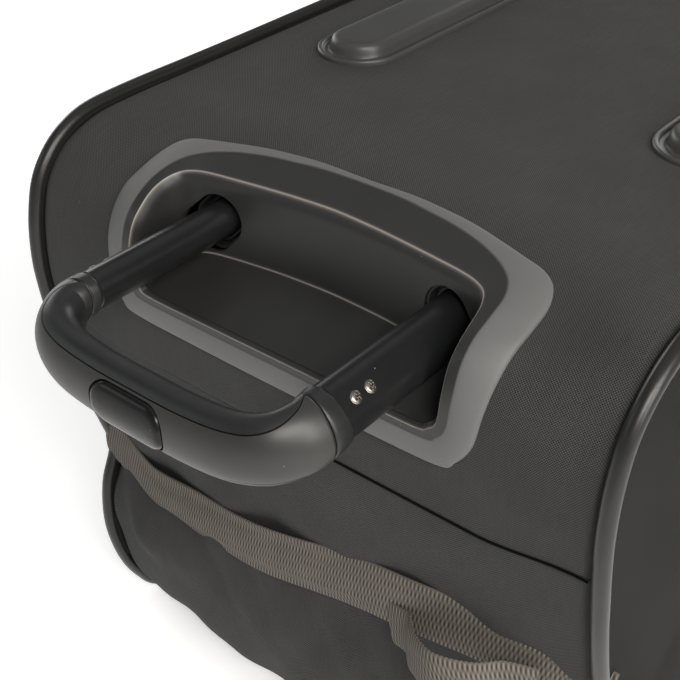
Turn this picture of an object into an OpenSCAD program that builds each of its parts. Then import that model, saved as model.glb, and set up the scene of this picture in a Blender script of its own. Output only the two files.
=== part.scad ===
// Wheeled ski bag, lying on its front lid with the back panel up.
// X runs across the bag, +Y runs along it from the handle end to the wheel end, +Z is up.
// Shapes are drawn in a working frame: Y = 0 is the face of the handle end, Z = 0 is the
// top of the back panel. place() moves them so that the origin is bottom centre.

/* [Bag body] */
// Width over the two side panels
bag_w = 338; // [320:1:360]
// Thickness from the front lid to the back panel
bag_t = 350; // [330:1:380]
// Length between the faces of the two end panels
bag_l = 1780; // [1500:10:1900]
// Thickness of a padded end, back or lid panel
wall = 5; // [4:0.5:6]
// Thickness of a padded side panel
side_wall = 7; // [6:0.5:8]
// Radius with which the body turns over the handle end
end_r = 55; // [50:1:60]
// Radius with which the body turns over the wheel end
wheel_end_r = 45; // [40:1:50]
// Height of the seam across the handle end, below the back panel
seam_drop = 100; // [95:1:110]
// Radius of the piping round the back panel and the ends
piping_r = 3.5; // [3:0.1:4]

/* [Front lid] */
// How far the lid comes up the sides of the bag
lid_h = 45; // [35:1:60]
// Width of the zip that joins the lid to the body
zip_h = 10; // [8:1:12]
// How far each end panel runs under the bag
cup_l = 75; // [70:1:90]

/* [Telescopic handle] */
// Distance of each rod axis from the middle of the bag
rod_x = 69; // [68:0.5:70]
// Depth of the rod axes below the back panel
rod_drop = 30.5; // [30:0.5:32]
// Tilt of the oval tubes about their own axes
rod_tilt = 45; // [40:1:50]
// Width of the inner tube's oval section
rod_l = 25; // [24:0.5:26]
// Thickness of the inner tube's oval section
rod_t = 17; // [16:0.5:18]
// Wall of each tube
tube_wall = 1.2; // [1:0.1:1.3]
// Clear gap between one tube and the next
tube_gap = 0.3; // [0.3:0.05:0.4]
// Lower end of the outer tubes, from the handle end
tube_end = 380; // [370:5:400]
// Where the grip's collars meet the inner tubes
collar_y = -43; // [-45:0.5:-42]

/* [Tray] */
// Half width of the tray's flange
tray_hw = 111; // [109:0.5:113]
// How far the flange reaches along the back panel
tray_reach = 66; // [60:1:70]
// How far the flange reaches down the handle end
tray_down = 71; // [66:1:76]
// How far the flange stands above the fabric
tray_proud = 3; // [2:0.5:4]
// Half width of the recess
recess_hw = 89.5; // [89:0.5:91]
// Inner face of the recess's back wall
recess_y = 41.5; // [40:0.5:43]
// Wall of the moulded recess
recess_wall = 2.5; // [2:0.1:3]

/* [Wheels] */
// Radius of a wheel over its tyre
wheel_r = 45; // [40:1:50]
// Width of a wheel
wheel_w = 30; // [26:1:32]
// Distance of each wheel's middle from the middle of the bag
wheel_x = 126; // [124:1:128]
// Radius of the axles
axle_r = 4; // [3.5:0.1:4.5]
// Radius of the bearings' outer rings
bearing_r = 11; // [10:0.5:12]

/* [Skid rails] */
// Distance of each rail's centre line from the middle of the bag
rail_x = 103; // [100:1:106]
// Width of a rail
rail_w = 50; // [44:1:54]
// Height of a rail above the back panel
rail_h = 9; // [6:0.5:12]
// Near end of the rails
rail_y0 = 165; // [160:1:175]
// Length of a rail
rail_l = 1380; // [1100:10:1400]

/* [Hidden] */
$fn = 64;
inner_w = bag_w - 2 * side_wall;
panel_gap = 0.5;
wheel_y = bag_l - 28;
wheel_z = -22;
feet_y = wheel_y + wheel_r;
button_proud = 1.5;
grip_face_y = -84.5;
front_y = grip_face_y - button_proud;
y_shift = -(front_y + feet_y) / 2;

mid_l = rod_l + 2 * (tube_wall + tube_gap);
mid_t = rod_t + 2 * (tube_wall + tube_gap);
out_l = mid_l + 2 * (tube_wall + tube_gap);
out_t = mid_t + 2 * (tube_wall + tube_gap);
mid_start = recess_y + 5;
mid_end = tube_end - 10;
inner_end = 280;
pin_y = 262;
pin_r = 2.8;
screw_y = [-34, -25.4];
screw_r = 1.2;
zip_z = -bag_t + lid_h;
floor_slope = 0.27;
recess_floor = -46;
lining_z = -64;

// Grip: half thickness, half height, angle of the joint line between its two shells
grip_a = 10.5;
grip_b = 15.5;
parting = 50;
// Centre line of half the grip, from the collar to the middle of the hand bar
grip_pts = [
    [69, -43, -30.5],
    [70.5, -51, -31.5],
    [72, -60, -34],
    [66, -69.5, -37],
    [50, -73, -38.8],
    [25, -73.8, -39.3],
    [0, -74, -39.5]
];

module place() {
    translate([0, y_shift, bag_t]) children();
}

// Extrudes a (Y, Z) outline along X, centred on x
module across(w, x = 0) {
    translate([x, 0, 0])
        rotate([90, 0, 90])
            translate([0, 0, -w / 2])
                linear_extrude(w) children();
}

// Outline of the bag seen from its side, taken in by the given amount
module side_outline(inset) {
    h = bag_t - 2 * inset;
    translate([end_r, -bag_t + inset])
        square([bag_l - end_r - wheel_end_r, h]);
    translate([inset, -bag_t + end_r])
        square([end_r, bag_t - 2 * end_r]);
    translate([bag_l - wheel_end_r - 1, -bag_t + wheel_end_r])
        square([wheel_end_r - inset + 1, bag_t - 2 * wheel_end_r]);
    for (z = [-end_r, -bag_t + end_r])
        translate([end_r, z]) circle(end_r - inset);
    for (z = [-wheel_end_r, -bag_t + wheel_end_r])
        translate([bag_l - wheel_end_r, z]) circle(wheel_end_r - inset);
}

module wall_ring() {
    difference() {
        side_outline(0);
        side_outline(wall);
    }
}

module block(x0, x1, y0, y1, z0, z1) {
    translate([x0, y0, z0]) cube([x1 - x0, y1 - y0, z1 - z0]);
}

// ---- Soft body ----

module back_panel() {
    color("#34363a") place() difference() {
        across(inner_w) intersection() {
            wall_ring();
            translate([-1, -seam_drop]) square([bag_l - 119, seam_drop + 1]);
        }
        block(-recess_hw - 4, recess_hw + 4, -1, recess_y + 4, -62, 1);
    }
}

module side_panel(side) {
    x = side * (bag_w - side_wall) / 2;
    color("#26282d") place() across(side_wall, x) difference() {
        side_outline(2 * piping_r);
        translate([cup_l, -bag_t - 1])
            square([bag_l - 2 * cup_l, lid_h + 1 + (side > 0 ? zip_h : panel_gap)]);
    }
}
module side_panel_left() { side_panel(-1); }
module side_panel_right() { side_panel(1); }

module handle_end_panel() {
    color("#2b2c2f") place() across(inner_w) intersection() {
        wall_ring();
        translate([-1, -bag_t - 1]) square([cup_l + 1, bag_t - seam_drop + 1]);
    }
}

module wheel_end_panel() {
    color("#2b2c2f") place() difference() {
        across(inner_w) intersection() {
            wall_ring();
            translate([bag_l - 120, -bag_t - 1]) square([121, bag_t + 2]);
            union() {
                translate([bag_l - cup_l, -bag_t - 1]) square([cup_l + 1, bag_t + 2]);
                translate([bag_l - 120, -50]) square([121, 51]);
            }
        }
        for (s = [-1, 1])
            block(min(s * 94, s * 170), max(s * 94, s * 170), bag_l - 113, bag_l + 5, -99, 5);
    }
}

module front_lid() {
    y0 = cup_l + zip_h + panel_gap;
    y1 = bag_l - y0;
    color("#2b2c2f") place() {
        difference() {
            block(-bag_w / 2, bag_w / 2, y0, y1, -bag_t + 0.5, zip_z);
            block(-inner_w / 2, inner_w / 2, y0 - 1, y1 + 1, -bag_t + 0.5 + wall, zip_z + 1);
        }
    }
}

// Piping along one long edge of the back panel, turning down over both ends
module piping(side) {
    x = side * (bag_w / 2 - piping_r);
    low = -bag_t + end_r;
    color("#1d1e20") place() translate([x, 0, 0]) {
        translate([0, end_r, 0.5 - piping_r])
            rotate([-90, 0, 0]) cylinder(r = piping_r, h = bag_l - end_r - wheel_end_r);
        translate([0, end_r, -end_r])
            rotate([0, -90, 0])
                rotate([0, 0, -90])
                    rotate_extrude(angle = 90)
                        translate([end_r + 0.5 - piping_r, 0]) circle(piping_r, $fn = 24);
        translate([0, piping_r - 0.5, low]) cylinder(r = piping_r, h = bag_t - 2 * end_r);
        translate([0, bag_l - wheel_end_r, -wheel_end_r])
            rotate([0, -90, 0])
                rotate_extrude(angle = 90)
                    translate([wheel_end_r + 0.5 - piping_r, 0]) circle(piping_r, $fn = 24);
        translate([0, bag_l - piping_r + 0.5, low])
            cylinder(r = piping_r, h = bag_t - end_r - wheel_end_r);
    }
}
module piping_left() { piping(-1); }
module piping_right() { piping(1); }

// ---- Zip, boards and rails ----

module zip_tape() {
    run = bag_l - 2 * cup_l - 2 * panel_gap;
    color("#17181a") place() {
        block(bag_w / 2 - 5, bag_w / 2 - 2, cup_l + panel_gap, cup_l + panel_gap + run,
            zip_z + 0.5, zip_z + zip_h - 0.5);
        for (y = [cup_l + panel_gap, bag_l - cup_l - zip_h + panel_gap])
            block(-inner_w / 2, inner_w / 2, y, y + zip_h - 1, -bag_t + 1.5, -bag_t + 3.5);
    }
}

// A zip slider rides outside the tape on the right-hand side
module slider_at(y) {
    x = bag_w / 2 - 1.7;
    z = zip_z + zip_h / 2;
    color("#8d8f92") place() difference() {
        union() {
            block(x, x + 3, y - 8, y + 8, z - 4.5, z + 4.5);
            block(x + 3, x + 6, y - 4, y + 4, z - 1.5, z + 1.5);
        }
        translate([x + 4.2, y - 2.6, z - 2]) cube([1.0, 5.2, 4]);
    }
}
slider_y = [cup_l + 25, bag_l - cup_l - 25];
module zip_slider_front() { slider_at(slider_y[0]); }
module zip_slider_rear() { slider_at(slider_y[1]); }

// The pull is a flat tab that hangs from the slider's bridge
module pull_at(y) {
    x = bag_w / 2 + 2.8;
    z = zip_z + zip_h / 2;
    color("#8d8f92") place() difference() {
        block(x + 0.4, x + 1.8, y - 4, y + 4, z - 34, z - 2);
        block(x - 1, x + 3, y - 1.6, y + 1.6, z - 31, z - 26);
    }
}
module zip_pull_front() { pull_at(slider_y[0]); }
module zip_pull_rear() { pull_at(slider_y[1]); }

module stiffener_board() {
    color("#101113") place()
        block(-inner_w / 2 + 6, inner_w / 2 - 6, tube_end + 45, bag_l - 125, -wall - 2.6, -wall - 0.4);
}

// Lined board that keeps the skis clear of the handle's tubes
module lining_panel() {
    color("#3a3b3e") place()
        block(-inner_w / 2 + 1, inner_w / 2 - 1, wall + 1, tube_end + 60,
            lining_z - 4, lining_z);
}

module rail_plan(inset) {
    r = rail_w / 2 - inset;
    translate([-r, 0]) square([2 * r, rail_l - rail_w]);
    circle(r);
    translate([0, rail_l - rail_w]) circle(r);
}
// Moulded skid rail: a thin rim, a groove and a raised bar
module skid_rail(side) {
    color("#2c2d30") place()
        translate([side * rail_x, rail_y0 + rail_w / 2, 0]) {
            linear_extrude(3) rail_plan(0);
            translate([0, 0, 3]) linear_extrude(3) difference() {
                rail_plan(0);
                rail_plan(3);
            }
            translate([0, 0, 3]) linear_extrude(rail_h - 3) rail_plan(8);
        }
}
module skid_rail_left() { skid_rail(-1); }
module skid_rail_right() { skid_rail(1); }

// ---- Tray and tubes ----

module recess_outline(grow) {
    polygon([
        [-20, 20],
        [recess_y + grow, 20],
        [recess_y + grow, recess_floor - grow],
        [-20, recess_floor - grow - floor_slope * (recess_y + 20)]
    ]);
}

module handle_tray() {
    shell_w = 2 * (recess_hw + recess_wall);
    color("#3c3d40") place() difference() {
        union() {
            across(2 * tray_hw) intersection() {
                difference() {
                    side_outline(-tray_proud);
                    side_outline(0);
                }
                translate([-10, -tray_down]) square([tray_reach + 10, tray_down + 10]);
            }
            across(shell_w) intersection() {
                side_outline(-tray_proud);
                recess_outline(recess_wall);
            }
        }
        across(2 * recess_hw) recess_outline(0);
        for (s = [-1, 1]) along_rod(s, recess_y - 5, recess_y + 10) oval(out_l + 3.4, out_t + 3.4);
    }
}

// Flat-sided oval, long axis along x
module oval(l, t) {
    square([l - t, t], center = true);
    for (s = [-1, 1]) translate([s * (l - t) / 2, 0]) circle(t / 2);
}

// Extrudes a section along one rod's axis, from y0 to y1
module along_rod(s, y0, y1) {
    translate([s * rod_x, y0, -rod_drop])
        rotate([-90, 0, 0])
            linear_extrude(y1 - y0) rotate(s * rod_tilt) children();
}

module oval_tube(s, l, t, y0, y1) {
    along_rod(s, y0, y1) difference() {
        oval(l, t);
        oval(l - 2 * tube_wall, t - 2 * tube_wall);
    }
}

module outer_tube(s) {
    color("#1a1b1d") place() oval_tube(s, out_l, out_t, recess_y + recess_wall + 0.5, tube_end);
}
module outer_tube_left() { outer_tube(-1); }
module outer_tube_right() { outer_tube(1); }

// Moulded collars that line the tray's holes and hold the outer tubes' mouths
module tube_collars() {
    color("#111214") place() for (s = [-1, 1])
        along_rod(s, recess_y - 2, recess_y + 14) difference() {
            oval(out_l + 3, out_t + 3);
            oval(out_l + 0.1, out_t + 0.1);
        }
}

module middle_tube(s) {
    color("#161719") place() oval_tube(s, mid_l, mid_t, mid_start, mid_end);
}
module middle_tube_left() { middle_tube(-1); }
module middle_tube_right() { middle_tube(1); }

// Moulded mouth on each middle tube, which guides the inner tube
module middle_collars() {
    color("#111214") place() for (s = [-1, 1])
        along_rod(s, mid_start - 4, mid_start) difference() {
            oval(mid_l, mid_t);
            oval(rod_l + 2 * tube_gap, rod_t + 2 * tube_gap);
        }
}

// Frame on a rod's axis whose +Z is the normal of the tube's upper broad face
module on_rod(s, y) {
    translate([s * rod_x, y, -rod_drop]) rotate([0, s * rod_tilt, 0]) children();
}

module screw_bores(s) {
    for (y = screw_y)
        on_rod(s, y) cylinder(r = screw_r + 0.05, h = rod_t);
}

module inner_tube(s) {
    color("#0f1012") place() difference() {
        oval_tube(s, rod_l, rod_t, collar_y, inner_end);
        on_rod(s, pin_y) cylinder(r = pin_r + tube_gap, h = rod_t);
        screw_bores(s);
    }
}
module inner_tube_left() { inner_tube(-1); }
module inner_tube_right() { inner_tube(1); }

// Moulded blocks in the lower end of each inner tube, bored for its lock pin
module inner_plugs() {
    color("#2a2b2d") place() for (s = [-1, 1]) difference() {
        along_rod(s, pin_y - 14, inner_end)
            oval(rod_l - 2 * tube_wall - 0.1, rod_t - 2 * tube_wall - 0.1);
        on_rod(s, pin_y) cylinder(r = pin_r + tube_gap, h = rod_t);
        on_rod(s, pin_y) translate([0, 0, -1]) cylinder(r = pin_r + tube_gap, h = 2);
        translate([s * rod_x, pin_y - 20, -rod_drop])
            rotate([-90, 0, 0]) cylinder(r = 2.6, h = 24);
    }
}

// Moulded tenons that join the grip to the inner tubes, bored for the push rods
module grip_tenons() {
    color("#1d1e20") place() for (s = [-1, 1]) difference() {
        along_rod(s, collar_y + 0.05, -18)
            oval(rod_l - 2 * tube_wall - 0.1, rod_t - 2 * tube_wall - 0.1);
        translate([s * rod_x, collar_y - 1, -rod_drop])
            rotate([-90, 0, 0]) cylinder(r = 3, h = 30);
        screw_bores(s);
    }
}

// Sprung pins that catch in the middle tube's wall, one per rod
module lock_pin(s) {
    color("#a7a9ac") place()
        on_rod(s, pin_y) translate([0, 0, 3]) cylinder(r = pin_r, h = rod_t / 2 - 3.1);
}
module lock_pin_left() { lock_pin(-1); }
module lock_pin_right() { lock_pin(1); }

// Moulded bracket riveted to the frame, closing the lower ends of the outer tubes
module base_bracket() {
    y0 = tube_end - 12;
    color("#232427") place() difference() {
        union() {
            block(-rod_x - 24, rod_x + 24, tube_end, tube_end + 16, -rod_drop - 20, -wall - 0.4);
            for (s = [-1, 1]) along_rod(s, y0, tube_end) oval(out_l + 6, out_t + 6);
        }
        for (s = [-1, 1]) along_rod(s, y0 - 1, tube_end) oval(out_l + 0.1, out_t + 0.1);
        for (x = [-40, 0, 40])
            translate([x, tube_end + 8, -60]) cylinder(r = 2.3, h = 60);
        block(-100, 100, y0 - 1, tube_end + 1, -wall - 0.4, 5);
    }
}

module bracket_screws() {
    color("#9b9da0") place() for (x = [-40, 0, 40])
        translate([x, tube_end + 8, 0]) {
            translate([0, 0, -rod_drop - 23]) cylinder(r = 4.2, h = 3);
            translate([0, 0, -rod_drop - 20]) cylinder(r = 2.25, h = 42);
        }
}

// ---- Grip ----

// Point of the grip's centre line at u from 0 (left collar) to 1 (right collar)
function side_pt(i) = let (n = len(grip_pts) - 1)
    i <= n ? [-grip_pts[i][0], grip_pts[i][1], grip_pts[i][2]] : grip_pts[2 * n - i];
function clamp_i(i) = max(0, min(2 * (len(grip_pts) - 1), i));
function knot(i) = i < 0 ? 2 * side_pt(0) - side_pt(1)
    : i > 2 * (len(grip_pts) - 1) ? 2 * side_pt(clamp_i(i)) - side_pt(clamp_i(i) - 1)
    : side_pt(i);
function spline(i, t) = let (a = knot(i - 1), b = knot(i), c = knot(i + 1), d = knot(i + 2))
    0.5 * (2 * b + (c - a) * t + (2 * a - 5 * b + 4 * c - d) * pow(t, 2)
        + (3 * b - a - 3 * c + d) * pow(t, 3));
function path_pt(u) = let (s = u * 2 * (len(grip_pts) - 1), i = min(floor(s), 11))
    spline(i, s - i);
function unit(v) = v / norm(v);
// Level normal of the centre line, pointing out of the U
function outward(u) = let (d = path_pt(min(1, u + 0.004)) - path_pt(max(0, u - 0.004)))
    unit([d[1], -d[0], 0]);

// How far the section has turned from the tube's tilted oval to the hand bar's upright one
function morph(u) = let (e = min(u, 1 - u) / 0.22) e >= 1 ? 1 : pow(sin(90 * e), 2);
function mix(a, b, k) = a + (b - a) * k;
// A point of the section at angle f, measured from the outward normal
function grip_pt(u, f) = let (
        k = morph(u),
        s = u < 0.5 ? -1 : 1,
        a = mix(9.6, grip_a, k),
        b = mix(13.6, grip_b, k),
        tilt = mix(rod_tilt, 0, k),
        p = a * cos(f),
        q = b * sin(f)
    )
    path_pt(u) + (p * cos(tilt) - q * sin(tilt)) * outward(u) + [0, 0, p * sin(tilt) + q * cos(tilt)];

grip_steps = 48;
function ring(u, f0, f1, n) = [for (i = [0:n]) grip_pt(u, f0 + (f1 - f0) * i / n)];
// Closed skin through a row of rings that all have n points
module skin(rings) {
    n = len(rings[0]);
    m = len(rings);
    side = [for (j = [0:m - 2], i = [0:n - 1])
        [j * n + i, j * n + (i + 1) % n, (j + 1) * n + (i + 1) % n, (j + 1) * n + i]];
    caps = [[for (i = [0:n - 1]) n - 1 - i], [for (i = [0:n - 1]) (m - 1) * n + i]];
    polyhedron(concat([for (r = rings) each r]), concat(side, caps), convexity = 6);
}

// Pocket for the button, and flat ends where the collars meet the tubes
module grip_ends() {
    block(-20.7, 20.7, -95, -69.5, -50.6, -28.9);
    block(-100, 100, collar_y, 0, -80, 0);
}

// Channel for the yoke and bores for the push rods
module grip_channels() {
    block(-72, 72, -75, -65.2, -43.5, -36.5);
    for (s = [-1, 1]) {
        block(s * rod_x - 3.5, s * rod_x + 3.5, -75, -62, -44, -26.5);
        translate([s * rod_x, -66, -rod_drop]) rotate([-90, 0, 0]) cylinder(r = 3, h = 30);
    }
}

module grip_inner_shell() {
    color("#1d1e20") place() difference() {
        skin([for (i = [0:grip_steps]) ring(i / grip_steps, parting, 360 - parting, 16)]);
        grip_ends();
        grip_channels();
    }
}

module grip_outer_cap() {
    color("#2a2a2b") place() difference() {
        skin([for (i = [1:grip_steps - 1])
            let (u = i / grip_steps)
            [for (p = ring(u, -parting + 1, parting - 1, 8)) p + 0.2 * outward(u)]]);
        grip_ends();
    }
}

// Screws through each tube's broad face into the tenon
module grip_screws() {
    color("#b9b4a8") place() for (s = [-1, 1], y = screw_y)
        on_rod(s, y) {
            translate([0, 0, rod_t / 2 + 0.05]) cylinder(r = 2.6, h = 0.9);
            translate([0, 0, 4]) cylinder(r = screw_r, h = rod_t / 2 - 3);
        }
}

module grip_button() {
    r = 10.4;
    color("#0c0c0d") place() translate([0, 0, -39.7]) {
        rotate([90, 0, 0]) translate([0, 0, 74.2]) linear_extrude(front_depth()) {
            square([40.6 - 2 * 9, 20.8], center = true);
            square([40.6, 20.8 - 2 * 9], center = true);
            for (sx = [-1, 1], sz = [-1, 1])
                translate([sx * (20.3 - 9), sz * (r - 9)]) circle(9);
        }
    }
}
function front_depth() = -front_y - 74.2;

// Coil springs between the button and the grip, drawn as short sleeves
module button_spring() {
    color("#c0c2c5") place() for (x = [-12, 12])
        translate([x, -73.9, -46.9]) rotate([-90, 0, 0]) difference() {
            cylinder(r = 2.6, h = 4.2);
            translate([0, 0, -1]) cylinder(r = 1.9, h = 7);
        }
}

module release_yoke() {
    color("#55575a") place() {
        block(-rod_x - 2, rod_x + 2, -74, -70, -42.5, -37.5);
        for (s = [-1, 1]) block(s * rod_x - 2, s * rod_x + 2, -74, -70, -37.5, -28);
    }
}

module push_rods() {
    color("#8f9194") place() for (s = [-1, 1])
        translate([s * rod_x, -70, -rod_drop])
            rotate([-90, 0, 0]) cylinder(r = 2, h = pin_y + 70 - 9);
}

// ---- Wheel end ----

housing_y0 = bag_l - 112;
housing_z0 = -98;
well_r = wheel_r + 4;
well_w = wheel_w + 5;

module wheel_housing(s) {
    color("#202124") place() difference() {
        union() {
            translate([s * (wheel_x + 1) - 33, housing_y0, housing_z0])
                cube([66, bag_l + 2 - housing_y0, 3 - housing_z0]);
        }
        // corner between the back panel and the wheel end is rounded off
        translate([0, bag_l + 2 - 30, 3 - 30]) across_cut(s * wheel_x, 80)
            difference() {
                square(31);
                circle(30);
            }
        translate([s * wheel_x - well_w / 2, wheel_y, wheel_z])
            rotate([0, 90, 0]) cylinder(r = well_r, h = well_w);
        translate([s * wheel_x - well_w / 2, wheel_y, wheel_z]) cube([well_w, 200, 200]);
        translate([s * wheel_x - well_w / 2, wheel_y - well_r, wheel_z]) cube([well_w, 200, 200]);
        translate([s * wheel_x - well_w / 2, wheel_y, wheel_z - well_r]) cube([well_w, 200, 200]);
        translate([s * wheel_x - 28, wheel_y, wheel_z])
            rotate([0, 90, 0]) cylinder(r = axle_r + 0.02, h = 56);
    }
}
module across_cut(x, w) {
    translate([x, 0, 0]) rotate([90, 0, 90]) translate([0, 0, -w / 2]) linear_extrude(w) children();
}
module wheel_housing_left() { wheel_housing(-1); }
module wheel_housing_right() { wheel_housing(1); }

module on_axle(s, x0, x1) {
    translate([s * wheel_x + x0, wheel_y, wheel_z])
        rotate([0, 90, 0]) linear_extrude(x1 - x0) children();
}

module axle(s) {
    color("#aeb0b3") place() on_axle(s, -27, 27) circle(axle_r);
}
module axle_left() { axle(-1); }
module axle_right() { axle(1); }

// Each wheel turns on two bearings pressed into its hub
module bearings(s) {
    color("#c4c6c9") place() for (x = [-wheel_w / 2 + 1, wheel_w / 2 - 8])
        on_axle(s, x, x + 7) difference() {
            circle(bearing_r);
            circle(axle_r + 0.05);
        }
}
module bearings_left() { bearings(-1); }
module bearings_right() { bearings(1); }

module wheel_hub(s) {
    color("#3b3c3f") place() {
        on_axle(s, -wheel_w / 2, wheel_w / 2) difference() {
            circle(bearing_r + 3);
            circle(bearing_r);
        }
        on_axle(s, -3, 3) difference() {
            circle(wheel_r - 10);
            circle(bearing_r + 2.9);
            for (a = [0:72:288])
                rotate(a) translate([(wheel_r + bearing_r - 7) / 2, 0]) circle(5.5);
        }
        on_axle(s, -wheel_w / 2 + 1, wheel_w / 2 - 1) difference() {
            circle(wheel_r - 8);
            circle(wheel_r - 11);
        }
        // shoulder between the two bearings
        on_axle(s, -wheel_w / 2 + 8, wheel_w / 2 - 8) difference() {
            circle(bearing_r + 0.1);
            circle(bearing_r - 2);
        }
    }
}
module wheel_hub_left() { wheel_hub(-1); }
module wheel_hub_right() { wheel_hub(1); }

module tyre(s) {
    w = wheel_w - 4;
    color("#151515") place()
        translate([s * wheel_x, wheel_y, wheel_z]) rotate([0, 90, 0])
            rotate_extrude() {
                translate([wheel_r - 8, -wheel_w / 2 + 1]) square([3, wheel_w - 2]);
                translate([wheel_r - 6, -w / 2 + 3]) square([6, w - 6]);
                for (z = [-w / 2 + 3, w / 2 - 3]) translate([wheel_r - 3, z]) circle(3);
            }
}
module tyre_left() { tyre(-1); }
module tyre_right() { tyre(1); }

// Moulded feet, level with the wheels, that the bag stands on when upright
module standing_feet() {
    color("#202124") place() for (s = [-1, 1])
        translate([s * 110, bag_l, -bag_t + 75]) rotate([-90, 0, 0]) {
            cylinder(r = 24, h = 6);
            cylinder(r = 17, h = feet_y - bag_l);
        }
}

// ---- Webbing and straps ----

web_t = 2;
web_w = 34;
web_z = -200;

// Band sewn across the handle end and back along both sides
module end_webbing() {
    reach = 150;
    x1 = bag_w / 2 + web_t;
    color("#45433a") place() {
        block(-inner_w / 2, inner_w / 2, -web_t, 0, web_z - web_w / 2, web_z + web_w / 2);
        for (s = [-1, 1])
            block(min(s * bag_w / 2, s * x1), max(s * bag_w / 2, s * x1), 15, reach,
                web_z - web_w / 2, web_z + web_w / 2);
    }
}

// Loop of webbing that stands off the band near the zip side, to lift the bag by
module end_grab_loop() {
    half = 38;
    loop_x = 93;
    color("#45433a") place() translate([loop_x, 0, web_z - web_w / 2 + 1]) {
        for (s = [-1, 1]) {
            block(min(s * half, s * (half + 22)), max(s * half, s * (half + 22)),
                -2 * web_t, -web_t, 0, web_w - 2);
            block(min(s * (half - 16), s * half), max(s * (half - 16), s * half),
                -22, -web_t, 0, web_w - 2);
        }
        block(-half + 16, half - 16, -22, -20, 0, web_w - 2);
    }
}

// Webbing handle on each side panel, for carrying the bag level
module side_handle(s) {
    y0 = bag_l * 0.4;
    y1 = bag_l * 0.6;
    color("#2b2c2e") place() mirror([s < 0 ? 1 : 0, 0, 0]) translate([bag_w / 2, 0, -200]) {
        for (y = [y0, y1 - 60]) block(0, 3, y, y + 60, 0, 38);
        for (y = [y0 + 60, y1 - 64]) block(0, 26, y, y + 4, 0, 38);
        block(23, 26, y0 + 64, y1 - 64, 0, 38);
    }
}

module side_handle_left() { side_handle(-1); }
module side_handle_right() { side_handle(1); }

// Padded wrap round the middle of each side handle
module handle_wrap(s) {
    color("#1f2023") place() mirror([s < 0 ? 1 : 0, 0, 0]) translate([bag_w / 2, 0, -200])
        difference() {
            block(19.5, 29.5, bag_l / 2 - 60, bag_l / 2 + 60, -4, 42);
            block(22.9, 26.1, bag_l / 2 - 61, bag_l / 2 + 61, -0.1, 38.1);
        }
}
module handle_wrap_left() { handle_wrap(-1); }
module handle_wrap_right() { handle_wrap(1); }

// Moulded handle across the wheel end, used to lift or steer the bag
module wheel_end_handle() {
    color("#18191b") place() translate([0, bag_l, -150]) {
        for (s = [-1, 1]) block(s * 52 - 14, s * 52 + 14, 0, 12, -14, 14);
        block(-66, 66, 12, 16.9, -10, 10);
    }
}

// Straps inside the bag that hold the skis down on the lining
module ski_strap(y) {
    x = inner_w / 2;
    color("#1c1d1f") place() {
        for (s = [-1, 1])
            block(min(s * (x - 2), s * x), max(s * (x - 2), s * x), y, y + web_w, -bag_t + 70, -80);
    }
}
module ski_strap_front() { ski_strap(bag_l * 0.28); }
module ski_strap_rear() { ski_strap(bag_l * 0.68); }

back_panel();
side_panel_left();
side_panel_right();
handle_end_panel();
wheel_end_panel();
front_lid();
piping_left();
piping_right();
zip_tape();
zip_slider_front();
zip_slider_rear();
zip_pull_front();
zip_pull_rear();
stiffener_board();
lining_panel();
skid_rail_left();
skid_rail_right();
handle_tray();
outer_tube_left();
outer_tube_right();
tube_collars();
base_bracket();
bracket_screws();
middle_tube_left();
middle_tube_right();
middle_collars();
inner_tube_left();
inner_tube_right();
inner_plugs();
grip_tenons();
grip_inner_shell();
grip_outer_cap();
grip_screws();
grip_button();
button_spring();
release_yoke();
push_rods();
lock_pin_left();
lock_pin_right();
wheel_housing_left();
wheel_housing_right();
axle_left();
axle_right();
wheel_hub_left();
wheel_hub_right();
tyre_left();
tyre_right();
bearings_left();
bearings_right();
standing_feet();
end_webbing();
end_grab_loop();
side_handle_left();
side_handle_right();
handle_wrap_left();
handle_wrap_right();
wheel_end_handle();
ski_strap_front();
ski_strap_rear();
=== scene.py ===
"""Wheeled ski bag with a telescopic handle, lying on its front lid with the back panel up.

Sizes are in millimetres, measured from the top edge of the handle end: x across the bag,
y along it towards the wheels, z up. place() turns them into the frame's metres.
"""

import math

import bpy
import numpy as np
from mathutils import Matrix, Vector


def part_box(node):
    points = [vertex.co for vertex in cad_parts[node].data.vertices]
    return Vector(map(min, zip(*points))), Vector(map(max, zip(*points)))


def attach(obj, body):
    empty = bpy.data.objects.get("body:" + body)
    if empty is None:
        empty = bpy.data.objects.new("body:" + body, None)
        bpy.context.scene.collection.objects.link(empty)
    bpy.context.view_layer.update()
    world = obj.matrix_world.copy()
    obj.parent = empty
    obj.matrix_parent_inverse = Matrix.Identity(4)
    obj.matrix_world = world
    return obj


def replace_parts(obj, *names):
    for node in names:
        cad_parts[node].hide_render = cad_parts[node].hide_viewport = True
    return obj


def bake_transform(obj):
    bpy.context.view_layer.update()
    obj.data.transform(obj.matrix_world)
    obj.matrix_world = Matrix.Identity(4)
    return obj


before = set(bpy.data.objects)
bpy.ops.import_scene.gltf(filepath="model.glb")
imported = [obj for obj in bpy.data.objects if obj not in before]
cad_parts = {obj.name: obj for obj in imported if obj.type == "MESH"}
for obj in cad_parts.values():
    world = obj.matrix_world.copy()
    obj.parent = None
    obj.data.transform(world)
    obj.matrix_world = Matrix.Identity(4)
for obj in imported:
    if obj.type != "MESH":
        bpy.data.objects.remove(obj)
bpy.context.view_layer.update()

# ---- Camera ----
# A portrait lens close above the handle end of the bag, looking down along its back panel
# from the right.

MM = 0.001
END_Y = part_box("back_panel")[0].y
TOP_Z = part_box("back_panel")[1].z


def place(points):
    """Millimetres from the top edge of the handle end, as metres in the frame."""
    return np.asarray(points, float) * MM + (0, END_Y, TOP_Z)


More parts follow.
